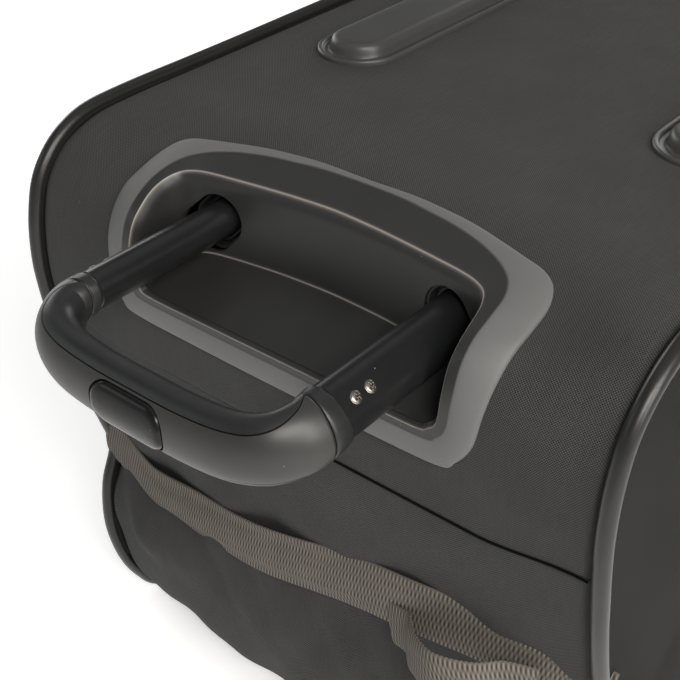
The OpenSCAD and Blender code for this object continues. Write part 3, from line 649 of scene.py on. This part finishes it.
# The last row is closed by the recess's floor, which looks up: it runs anticlockwise when
# the sum of the cross products round it is positive
floor_row = np.arange(len(points) - len(inner), len(points))
x, y = points[floor_row, :2].T
if (x * np.roll(y, -1) - y * np.roll(x, -1)).sum() < 0:
    floor_row = floor_row[::-1]
faces.append(floor_row.tolist())
maps = np.concatenate([maps, points[floor_row, :2] * MM])
tray_satin = moulded("tray_plastic", grey(0.018), 0.4, grain_size=0.5, relief=0.02, wear=0.3,
                     matt=grey(0.105))
tray = piece("handle_tray_moulding", points, faces, maps, tray_satin, "root", "moulded_tray", sharp=60)
row_of = np.arange(len(points)) // len(foot)
flange_row, lip_row, foot_row = 19.0, 34.5, 52.5
dull = 1 - ease((row_of - flange_row) / 3)
# Painted highlight: pale warm lines along the recess's lip and along the foot of its back wall, where the
# moulding would catch the light
painted_lip_highlight = 0.75 * np.exp(-((row_of - lip_row) / 1.3) ** 2)
painted_lip_highlight += 0.55 * np.exp(-((row_of - foot_row) / 1.0) ** 2) * ease((points[:, 1] - 26) / 8)
for finish, values in (("matt", dull), ("wear_and_lip_highlight", painted_lip_highlight)):
    finish_data = tray.data.attributes.new(finish, "FLOAT", "POINT").data
    finish_data.foreach_set("value", values.astype(np.float32))
thicken(tray, 2.4)
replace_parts(tray, "handle_tray")


def oval(length, thick):
    """64 points round a flat-sided oval: two half circles a straight side apart."""
    a = (np.arange(64) + 0.5) * 2 * math.pi / 64
    middle = np.where(np.cos(a) > 0, 1, -1) * (length - thick) / 2
    return np.stack([middle + thick / 2 * np.cos(a), thick / 2 * np.sin(a)], 1)


rod_x, rod_z = 69, -30.5
slant = math.sqrt(0.5)


def on_rod(s, section, y):
    """A section turned 45 degrees about one rod's axis, at y."""
    a, b = section.T
    return np.stack([s * (rod_x + (a - b) * slant), np.full(len(a), float(y)),
                     rod_z - (a + b) * slant], 1)


def cut(made, grid, name):
    """Takes a closed shape out of a piece, and leaves the result as the piece's own mesh."""
    p, f, m = grid_faces(grid, around=True, capped=True)
    tool_mesh = bpy.data.meshes.new(name)
    tool_mesh.from_pydata(place(p).tolist(), [], f)
    tool = bpy.data.objects.new(name, tool_mesh)
    bpy.context.scene.collection.objects.link(tool)
    boolean = made.modifiers.new(name, "BOOLEAN")
    boolean.object = tool
    boolean.solver = "EXACT"
    bpy.context.view_layer.update()
    result = bpy.data.meshes.new_from_object(made.evaluated_get(bpy.context.evaluated_depsgraph_get()))
    old = made.data
    made.modifiers.clear()
    made.data = result
    result.name = old.name
    bpy.data.meshes.remove(old)
    bpy.data.objects.remove(tool)
    bpy.data.meshes.remove(tool_mesh)


for s in (-1, 1):
    cut(tray, np.stack([on_rod(s, oval(34, 26), y) for y in (24, 60)]), "rod_hole")
tray.data.set_sharp_from_angle(angle=math.radians(50))

# ---- Telescopic tubes ----
# Black anodised oval aluminium tubes, three to a side. The inner ones carry the grip and
# show in the tray; the others are inside the bag.

anodised = moulded("black_anodised", grey(0.006, -0.06), 0.3, grain_size=0.25, relief=0.006,
                   wear=0.35, dusty=0.5)
rod_thick = 17


def tube_of(s, length, thick, wall, y0, y1):
    """Tube with rounded rims: out along the outer oval and back along the inner one."""
    ends = ((0.4, y0), (0, y0 + 0.4), (0, y1 - 0.4), (0.4, y1), (wall - 0.4, y1), (wall, y1 - 0.4),
            (wall, y0 + 0.4), (wall - 0.4, y0))
    rows = [on_rod(s, oval(length - 2 * inset, thick - 2 * inset), y) for inset, y in ends]
    return grid_faces(np.stack(rows), around=True, ring=True)


for s, side in ((-1, "left"), (1, "right")):
    for stage, long, thick, y0, y1 in (("inner", 25, rod_thick, -43, 280), ("middle", 28, 20, 46.5, 370)):
        rod = piece(f"{stage}_rod_{side}", *tube_of(s, long, thick, 1.2, y0, y1), anodised,
                    f"{stage}_stage", "tube_black", sharp=30)
        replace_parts(rod, f"{stage}_tube_{side}")

# ---- Grip ----
# Two moulded shells screwed together over the tubes: a dark inner shell and a satin outer
# cap, with a fine joint line between them and a collar at each end.

grip_end_y = -43
half_grip = [(rod_x, grip_end_y, rod_z), (69.2, -49.5, -31.3), (67, -58, -33.5), (59.5, -66.6, -36.4),
             (46, -71.8, -38.4), (25, -73.8, -39.3), (0, -74, -39.5)]
mirrored = [(-x, y, z) for x, y, z in half_grip[:-1]]
grip_line = smooth(mirrored + half_grip[::-1], 40)
along_u = np.linspace(0, 1, len(grip_line))
heading = np.gradient(grip_line, axis=0)
out = np.stack([heading[:, 1], -heading[:, 0], np.zeros(len(heading))], 1)
out /= np.linalg.norm(out, axis=1, keepdims=True)
upright = np.sin(np.clip(np.minimum(along_u, 1 - along_u) / 0.3, 0, 1) * math.pi / 2) ** 2
walked = np.concatenate([[0], np.cumsum(np.linalg.norm(np.diff(grip_line, axis=0), axis=1))])
from_end = np.minimum(walked, walked[-1] - walked)
joint_up, joint_low = mix(82, 50, upright)[:, None], mix(-84, -42, upright)[:, None]
collar_end = 7.0


def grip_rows(f, size):
    """Rows of points round the grip: at each place an ellipse that turns from the tubes'
    tilted section to the hand bar's upright one. f is the angle from the outward side and
    size scales the section."""
    a = mix(9.6, 10.5, upright)[:, None] * size
    b = mix(13.6, 15.5, upright)[:, None] * size
    tilt = mix(math.radians(45), 0, upright)[:, None]
    p, q = a * np.cos(f), b * np.sin(f)
    level = p * np.cos(tilt) - q * np.sin(tilt)
    height = p * np.sin(tilt) + q * np.cos(tilt)
    rows = grip_line[:, None] + level[..., None] * out[:, None]
    rows[..., 2] += height
    rows[..., 1] = np.minimum(rows[..., 1], grip_end_y)
    return rows


grip_dark = moulded("grip_inner_plastic", grey(0.012, -0.04), 0.4, grain_size=0.5, relief=0.015,
                    wear=0.2)
grip_satin = moulded("grip_cap_plastic", grey(0.016, 0.05), 0.44, grain_size=0.35, relief=0.02, wear=0.2,
                     specular=0.5)
gap = 0.9
outside, under = np.linspace(0, 1, 76)[None], np.linspace(0, 1, 28)[None]
degrees = np.concatenate([mix(joint_up + gap, 360 + joint_low - gap, outside),
                          mix(joint_low - gap + 0.3, joint_up + gap - 0.3, under)], 1)
under_cap = np.arange(degrees.shape[1])[None] >= outside.size
size = np.where(under_cap & (from_end > collar_end)[:, None], 0.8, 1.0)
ridge = 1 - 0.035 * np.exp(-((from_end - collar_end) / 0.5) ** 2)[:, None]
size = size * ridge * (1 - 0.05 * ease((0.8 - from_end) / 0.8)[:, None])
rows = grip_rows(np.radians(degrees), size)
grip_inner = piece("grip_inner_moulding", *grid_faces(rows, around=True, capped=True), grip_dark,
                   "inner_stage", "grip_black", sharp=35)
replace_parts(grip_inner, "grip_inner_shell")

arc = mix(joint_low + gap, joint_up - gap, np.linspace(0, 1, 44)[None])
edge = np.minimum(arc - arc[:, :1], arc[:, -1:] - arc)
arc_size = 1.012 - 0.03 * ease((2.2 - edge) / 2.2) ** 2
closed_arc = np.concatenate([arc, arc[:, ::-1]], 1)
closed_size = np.concatenate([arc_size, np.full(arc.shape, 0.83)], 1)
rows = grip_rows(np.radians(closed_arc), closed_size)
past_collar = from_end - collar_end - 0.5
capped_run = past_collar > 0
rows = rows[capped_run]
drawn_in = 0.04 * ease(1.0 - past_collar[capped_run])[:, None, None]
rows = mix(rows, grip_line[capped_run][:, None], drawn_in)
grip_cap = piece("grip_cap_moulding", *grid_faces(rows, around=True, capped=True), grip_satin,
                 "inner_stage", "grip_black", sharp=35)
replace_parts(grip_cap, "grip_outer_cap")


def pad_outline(width, height, radius):
    """Points round a rectangle with rounded corners, as (x, z)."""
    a = np.linspace(0, math.pi / 2, 16)
    quarter = radius * np.stack([np.cos(a), np.sin(a)], 1) + (width / 2 - radius, height / 2 - radius)
    upper = np.concatenate([quarter, (quarter * (-1, 1))[::-1]])
    return np.concatenate([upper, (upper * (1, -1))[::-1]])


button_z = -39.7


def pad_row(width, height, radius, y, crown=0.0):
    """A rounded rectangle facing the front of the grip, bent back towards its top and
    bottom as the grip's face is."""
    xz = pad_outline(width, height, radius)
    return np.stack([xz[:, 0], y + crown * (xz[:, 1] / 10.4) ** 2, button_z + xz[:, 1]], 1)


pocket = np.stack([pad_row(42.2, 22.2, 9.8, -95), pad_row(42.2, 22.2, 9.8, -66)])
for shell in (grip_inner, grip_cap):
    cut(shell, pocket, "button_pocket")
    shell.data.set_sharp_from_angle(angle=math.radians(35))
inside_line = grip_line[(along_u > 0.06) & (along_u < 0.94)]
cut(grip_inner, sweep(inside_line, [(-7.5, -4.8), (3, -4.8), (3, 4.8), (-7.5, 4.8)]), "yoke_channel")
grip_inner.data.set_sharp_from_angle(angle=math.radians(35))

# ---- Release button ----
# Glossy black button in the front of the grip, pressed in to free the tubes.

gloss = moulded("button_plastic", grey(0.006), 0.24, grain_size=0.9, relief=0.004, wear=0.1,
                specular=0.2)
profile = ((0, -74.5), (0, -83.6), (0.25, -84.6), (0.9, -85.4), (1.9, -85.8), (3.4, -85.95),
           (7, -86), (9.5, -86))
rows = [pad_row(40.6 - 2 * d, 20.8 - 2 * d, max(9 - d, 0.6), y, crown=2.2) for d, y in profile]
button = piece("release_button", *grid_faces(np.stack(rows), around=True, capped=True), gloss, "release",
               "button_black", sharp=50)
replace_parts(button, "grip_button")

# ---- Release yoke ----
# White acetal bar inside the grip that carries the button's push out to both tubes. It
# follows the grip's bend, and the two push rods start from its ends.

acetal = moulded("acetal", grey(0.3), 0.45, wear=0.1)
bar_line = grip_line[(along_u > 0.12) & (along_u < 0.88)]
bar = sweep(bar_line, [(-2, -2.5), (2, -2.5), (2, 2.5), (-2, 2.5)])
yoke = piece("release_yoke_bar", *grid_faces(bar, around=True, capped=True), acetal, "release",
             "button_black")
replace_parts(yoke, "release_yoke")

# ---- Push rods ----
# Bright steel wire rods inside the tubes, from the yoke to the lock pins.

steel = moulded("bright_steel", grey(0.6), 0.28, grain_size=0.3, relief=0.003, wear=0.1, dusty=0,
                metallic=1.0)
wires = [grid_faces(sweep([(s * rod_x, -51, rod_z), (s * rod_x, 100, rod_z), (s * rod_x, 253, rod_z)],
                          circle(2, 16)), around=True, capped=True) for s in (-1, 1)]
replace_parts(piece("push_rod_wires", *joined(*wires), steel, "release", "steel"), "push_rods")

# ---- Grip screws ----
# Nickel pan-head screws with cross recesses, two through the upper face of each tube.

nickel = moulded("nickel_plate", grey(0.2, 0.08), 0.36, grain_size=0.3, relief=0.004, wear=0.1,
                 dusty=0, metallic=1.0)
head_r = 2.6
screw_places = [(s, y) for s in (-1, 1) for y in (-34, -25.4)]


def screw_head(s, y):
    """A domed disc on the tube's upper broad face, with a cross pressed into it: the height
    over the disc is a dome less a pit where either arm of the cross runs."""
    r = np.linspace(0.02, 1, 22)[:, None]
    a = (np.arange(56) * 2 * math.pi / 56)[None]
    u, v = r * np.cos(a) * head_r, r * np.sin(a) * head_r
    dome = 0.95 * np.sqrt(np.clip(1 - (r * 0.96) ** 2.6, 0, 1))
    turned_u = u * math.cos(0.5) + v * math.sin(0.5)
    turned_v = v * math.cos(0.5) - u * math.sin(0.5)
    arm = np.minimum(np.abs(turned_u), np.abs(turned_v))
    pit = ease((0.42 - arm) / 0.16) * ease((1.75 - r * head_r) / 0.4)
    high = np.concatenate([dome - 0.75 * pit, np.full((1, 56), -0.6)]) + rod_thick / 2
    u, v = np.concatenate([u, u[-1:]]), np.concatenate([v, v[-1:]])
    grid = np.stack([s * (rod_x + (u + high) * slant), y + v, rod_z + (high - u) * slant], 2)
    return grid_faces(grid, around=True, capped=True)


heads = [screw_head(s, y) for s, y in screw_places]
screws = piece("grip_screw_heads", *joined(*heads), nickel, "inner_stage", "steel", sharp=50)
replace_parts(screws, "grip_screws")


def washer(s, y):
    """The ring round a screw, a half-round bead lying on the tube."""
    u, v = circle(2.62, 40).T
    high = rod_thick / 2 + 0.05
    ring = np.stack([s * (rod_x + (u + high) * slant), y + v, rod_z + (high - u) * slant], 1)
    bead = sweep(ring, circle(0.2, 8), up=(s * slant, 0, slant), loop=True)
    return grid_faces(bead, around=True, ring=True)


rings = [washer(s, y) for s, y in screw_places]
piece("grip_screw_rings", *joined(*rings), nickel, "inner_stage", "steel")

# ---- Skid rails ----
# Two long mouldings on the back panel, which the bag slides on: a thin rim, a groove and a
# raised bar with rounded edges.

rail_x, rail_w, rail_y0, rail_l = 103, 50, 165, 1380
rail_plastic = moulded("rail_plastic", grey(0.035, 0.01), 0.4, grain_size=0.7, relief=0.03, wear=0.8)


def stadium(radius, height):
    """Points round the rail at a height: two half circles a straight run apart."""
    a = np.linspace(0, math.pi, 40)
    near_y, far_y = rail_y0 + rail_w / 2, rail_y0 + rail_l - rail_w / 2
    near = np.stack([-radius * np.cos(a), near_y - radius * np.sin(a)], 1)
    far = np.stack([radius * np.cos(a), far_y + radius * np.sin(a)], 1)
    stops = np.linspace(near_y, far_y, 60)[1:-1]
    right = np.stack([np.full(len(stops), radius), stops], 1)
    left = np.stack([np.full(len(stops), -radius), stops[::-1]], 1)
    return np.insert(np.concatenate([near, right, far, left]), 2, height, axis=1)


rail_profile = [(0, -1), (0, 1.2), (0.2, 2.4), (1, 3), (1, 3), (2.4, 3), (3.1, 2.6), (3.6, 1.4), (3.8, 1.2),
                (6.2, 1.1), (6.8, 1.6), (7.6, 5.2), (8.4, 7.6), (10, 8.7), (12.5, 9), (17, 9), (21, 9)]
for s, side in ((-1, "left"), (1, "right")):
    rows = [stadium(rail_w / 2 - d, h) + (s * rail_x, 0, 0) for d, h in rail_profile]
    rail = piece(f"skid_rail_{side}_moulding", *grid_faces(rounded(rows, 2), around=True, capped=True),
                 rail_plastic, "root", "moulded_black", sharp=50)
    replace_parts(rail, f"skid_rail_{side}")

# ---- Webbing across the handle end ----
# A band of ribbed polyester webbing sewn into both side seams and laid slack over the end
# panel, with a lifting loop stitched to it.

webbing = cloth("webbing", grey(0.15, 0.13), grey(0.01, 0.1), pitch=2.2, relief=0.4, roughness=0.9,
                ribs=0.22)
band_line = smooth([(-167, 27, -203), (-150, 24.5, -205), (-115, 17.5, -212), (-70, 12.5, -206),
                    (-37, 10, -200), (5, 8.5, -190), (51, 8.5, -178), (95, 11, -172), (135, 17, -176),
                    (167, 26, -182)], 14)


def strap(line, width, thick, crown=0.0, rows=16):
    """A flat band on edge along a line, closed all round, with its edges rounded by a
    superellipse; crown is how far its middle stands out."""
    a = (np.arange(2 * rows) + 0.5) * math.pi / rows
    wide = width / 2 * np.sign(np.cos(a)) * np.abs(np.cos(a)) ** 0.35
    deep = thick / 2 * np.sign(np.sin(a)) * np.abs(np.sin(a)) ** 0.6
    section = np.stack([deep + crown * (1 - (wide * 2 / width) ** 2), wide], 1)
    return sweep(line, section)


band_w = 34
band_grid = strap(band_line, band_w, 2.4, crown=1.6, rows=44)
across_band = (band_grid[..., 2] - band_line[:, 2][:, None]) / (band_w / 2)
folds = np.cos(across_band * math.pi * 1.5 + 0.5) * ease((150 - np.abs(band_grid[..., 0])) / 40)
band_grid[..., 1] -= 1.5 * folds * ease((60 - band_grid[..., 0]) / 60)
band_grid[..., 1] += 1.2 * np.sin(band_grid[..., 0] / 17) * across_band**2
band = piece("end_webbing_band", *grid_faces(band_grid, around=True, capped=True), webbing, "root",
             "webbing")
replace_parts(band, "end_webbing")
loop_line = smooth([(62, 6.5, -190), (74, 2.5, -187), (84, -7, -183), (100, -14, -179), (116, -8, -179),
                    (126, 3, -181), (138, 10, -183)], 12)
loop_grid = strap(loop_line, 26, 2.2, crown=1.0)
loop_piece = piece("end_lifting_loop", *grid_faces(loop_grid, around=True, capped=True), webbing,
                   "root", "webbing")
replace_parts(loop_piece, "end_grab_loop")

# ---- Lid and its hinge ----
# The front of the bag, which it lies on: soft cloth with rounded edges, sewn to the left
# side by a cloth hinge and closed by a coil zip on the right side and across both ends.

lid_y0, lid_y1, lid_top, lid_low = 85.5, 1694.5, -305, -349.5
cloth_lid = cloth("lid_cloth", grey(0.05), grey(0.003))
arch = smooth([(-169, lid_top), (-170, -318), (-167, -334), (-158, -345), (-140, -349), (-70, lid_low),
               (0, lid_low), (70, lid_low), (140, -349), (158, -345), (167, -334), (170, -318),
               (169, lid_top)], 9)
lid_rows = np.linspace(lid_y0, lid_y1, 130)
lid_grid = np.stack(np.broadcast_arrays(arch[:, 0], lid_rows[:, None], arch[:, 1]), 2)
bulge = ripple(lid_grid[..., 1], lid_grid[..., 2], (0.7, 240, 70, 0.3), (0.5, 110, -50, 1.4))
lid_grid[..., 0] += np.sign(lid_grid[..., 0]) * bulge * ease((-308 - lid_grid[..., 2]) / 12) \
    * ease((np.abs(lid_grid[..., 0]) - 120) / 30)
lid_piece = piece("lid_cloth_shell", *grid_faces(lid_grid, facing=(0, 0, -1)), cloth_lid, "lid",
                  "bag_fabric")
thicken(lid_piece, 4)
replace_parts(lid_piece, "front_lid")

hinge_rows = np.linspace(lid_y0 + 1, lid_y1 - 1, 120)
hinge_z = np.linspace(bottom_z, -313, 12)
hinge_x = -171.6 + 0.5 * np.cos((hinge_z - lid_top) / 3)
hinge = np.stack(np.broadcast_arrays(hinge_x, hinge_rows[:, None], hinge_z), 2)
hinge_piece = piece("lid_hinge_strip", *grid_faces(hinge, facing=(-1, 0, 0)), cloth_lid, "root",
                    "bag_fabric")
thicken(hinge_piece, 1.2)
hinge_piece.parent = None
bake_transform(hinge_piece)

# ---- Cups under each end ----
# The end panels run on under the bag and round to the lid; these pieces close their sides.

low_back = over_back[over_back[:, 1] < -100]
down, span = np.linspace(0, 1, 22), np.linspace(0, 1, 24)
z = mix(bottom_z + 6, -348, down)
for end, rim, inner_y in (("handle", end_edge, lid_y0 - 2), ("wheel", low_back, lid_y1 + 2)):
    y_rim = np.interp(-z, -rim[:, 1], rim[:, 0])
    for s, side in ((-1, "left"), (1, "right")):
        y = mix(y_rim[:, None], inner_y, span[None])
        puff = 3 * np.sin(span * math.pi) * (1 - down[:, None] * 0.5)
        x = side_x - 2.5 + puff - 9 * down[:, None] ** 4
        rows = np.stack(np.broadcast_arrays(s * x, y, z[:, None]), 2)
        cup = piece(f"{end}_cup_{side}", *grid_faces(rows, facing=(s, 0, 0)), cloth_side, "root",
                    "side_fabric")
        thicken(cup, 2.5)

# ---- Wheel end panel ----
# Cloth over the wheel end, from the back panel between the wheel housings down to the lid.

wheel_profile = smooth([(1658, 0), (1700, 0), (1735, 0), (1755, -4), (1770, -15), (1778, -32), (1780, -60),
                        (1778, -120), (1776, -200), (1777, -270), (1773, -310), (1760, -334), (1735, -347),
                        (1696, -349)], 9)
wide = np.linspace(-half_w, half_w, 110)
profile_y, profile_z = wheel_profile.T[..., None]
wheel_grid = np.stack(np.broadcast_arrays(wide, profile_y, profile_z), 2)
swell = 2.5 * np.cos(wheel_grid[..., 0] / half_w * math.pi / 2) * ease((-100 - wheel_grid[..., 2]) / 60)
creases = ripple(wheel_grid[..., 0], wheel_grid[..., 2], (0.7, 120, 190, 0.2), (0.5, -75, 120, 1.1))
wheel_grid[..., 1] += (swell + creases - 1.5) * ease((-100 - wheel_grid[..., 2]) / 40) \
    * ease((wheel_grid[..., 2] + 346) / 20)
middle = (wheel_grid[1:, 1:] + wheel_grid[:-1, :-1]) / 2
in_housing = (np.abs(middle[..., 0]) > 96) & (np.abs(middle[..., 0]) < 158) \
    & (middle[..., 1] > 1671) & (middle[..., 2] > -94)
wheel_panel = piece("wheel_end_cloth", *grid_faces(wheel_grid, facing=(0, 1, 0.3), drop=in_housing),
                    cloth_dark, "root", "bag_fabric")
thicken(wheel_panel, 3)
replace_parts(wheel_panel, "wheel_end_panel")

# ---- CAD parts that keep their shape ----
# The rest keep the shape they were designed with: each is welded, most have their edges
# eased, and each gets the finish of its real material.


def keep_shape(nodes, material, bevel=0.0, sharp=32):
    """Gives CAD nodes their material, eased edges and smooth shading up to an angle."""
    for name in nodes:
        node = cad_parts[name]
        node.data.materials.clear()
        node.data.materials.append(material)
        node.data.polygons.foreach_set("use_smooth", np.ones(len(node.data.polygons), bool))
        weld = node.modifiers.new("weld", "WELD")
        weld.merge_threshold = 0.002 * MM
        if bevel:
            eased = node.modifiers.new("eased_edges", "BEVEL")
            eased.width = bevel * MM
            eased.segments = 2
            eased.limit_method = "ANGLE"
            eased.angle_limit = math.radians(40)
        split = node.modifiers.new("sharp_edges", "EDGE_SPLIT")
        split.split_angle = math.radians(sharp)


housing_plastic = moulded("housing_plastic", grey(0.022), 0.45, grain_size=0.9, relief=0.04, wear=0.5)
keep_shape(["wheel_housing_left", "wheel_housing_right"], housing_plastic, bevel=2)
keep_shape(["base_bracket", "tube_collars", "middle_collars", "inner_plugs", "grip_tenons"],
           moulded("glass_filled_nylon", grey(0.016), 0.5, grain_size=0.6, relief=0.02, wear=0.2), bevel=0.3)
keep_shape(["outer_tube_left", "outer_tube_right"], anodised)
keep_shape(["bracket_screws", "axle_left", "axle_right", "bearings_left", "bearings_right",
            "lock_pin_left", "lock_pin_right", "button_spring"], steel)
keep_shape(["stiffener_board"],
           moulded("fluted_board", grey(0.02), 0.55, grain_size=2.0, relief=0.05), bevel=0.5)
keep_shape(["lining_panel"],
           cloth("lining_cloth", grey(0.11), grey(0.05), pitch=0.5, relief=0.08, flat=True), bevel=1)
keep_shape(["ski_strap_front", "ski_strap_rear"],
           cloth("strap_cloth", grey(0.03), grey(0.012), pitch=1.3, relief=0.3, flat=True))
keep_shape(["wheel_hub_left", "wheel_hub_right"],
           moulded("hub_plastic", grey(0.06), 0.38, grain_size=0.7, relief=0.02, wear=0.4), bevel=0.5)
keep_shape(["standing_feet", "wheel_end_handle"], housing_plastic, bevel=1.5)
keep_shape(["zip_tape"],
           cloth("zip_tape_cloth", grey(0.02), grey(0.01), pitch=0.5, relief=0.08, flat=True))
keep_shape(["zip_slider_front", "zip_slider_rear", "zip_pull_front", "zip_pull_rear"], nickel, bevel=0.4)

# ---- Tyres ----
# Soft rubber tyres with rounded shoulders and shallow circumferential grooves.

rubber = moulded("tyre_rubber", grey(0.014), 0.62, grain_size=1.2, relief=0.06, wear=0.6)
wheel_y, wheel_z, wheel_x = 1752, -22, 126
half_tread = [(37.2, -13.6), (37.2, -14), (41, -13.8), (43.6, -12.4), (44.8, -9.8), (45, -7.6),
              (44.2, -7), (44.2, -6.2), (45, -5.6), (45, -1.4), (44.2, -0.8)]
radius, shift = np.array(half_tread + [(r, -across) for r, across in half_tread[::-1]]).T
a = (np.arange(96) * 2 * math.pi / 96)[:, None]
for s, side in ((-1, "left"), (1, "right")):
    rows = np.stack(np.broadcast_arrays(s * wheel_x + shift, wheel_y + radius * np.cos(a),
                                        wheel_z + radius * np.sin(a)), 2)
    tyre = piece(f"tyre_{side}_tread", *grid_faces(rows, around=True, ring=True), rubber, f"wheel_{side}",
                 "rubber", sharp=40)
    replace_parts(tyre, f"tyre_{side}")

# ---- Side handles ----
# A webbing handle sewn to each side panel by both its ends, with a padded wrap that closes
# round its middle.

wrap_cloth = cloth("wrap_cloth", grey(0.035), grey(0.014), pitch=0.8, relief=0.2)
handle_web = cloth("handle_webbing", grey(0.05, 0.03), grey(0.006), pitch=2.2, relief=0.4, ribs=0.22)
handle_y, handle_z = 890, -181
half_line = [(177.5, 712), (179.5, 740), (181, 768), (186, 786), (192, 802), (194.4, 826),
             (194.6, 858), (194.6, handle_y)]
full_line = np.array(half_line + [(x, 2 * handle_y - y) for x, y in half_line[-2::-1]], float)
for s, side in ((-1, "left"), (1, "right")):
    line = smooth(np.insert(full_line * (s, 1), 2, handle_z, axis=1), 8)
    handle = piece(f"side_handle_{side}_webbing", *grid_faces(strap(line, 38, 2.4), around=True, capped=True),
                   handle_web, "root", "webbing")
    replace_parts(handle, f"side_handle_{side}")
    y = np.linspace(-1, 1, 60)[:, None]
    fullness = (1 - np.abs(y) ** 6) ** 0.5
    a = np.arange(48) * 2 * math.pi / 48
    round_x = np.sign(np.cos(a)) * np.abs(np.cos(a)) ** 0.8
    round_z = np.sign(np.sin(a)) * np.abs(np.sin(a)) ** 0.8
    dimple = 1 - 0.06 * np.cos(y * 9 * math.pi) ** 2
    thick = (1.4 + 4.0 * fullness) * dimple
    high = 19.5 + 3.6 * fullness
    rows = np.stack(np.broadcast_arrays(s * (194.0 + thick * round_x), handle_y + 60 * y,
                                        handle_z + high * round_z), 2)
    wrap = piece(f"handle_wrap_{side}_pad", *grid_faces(rows, around=True, capped=True), wrap_cloth,
                 "root", "bag_fabric")
    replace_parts(wrap, f"handle_wrap_{side}")
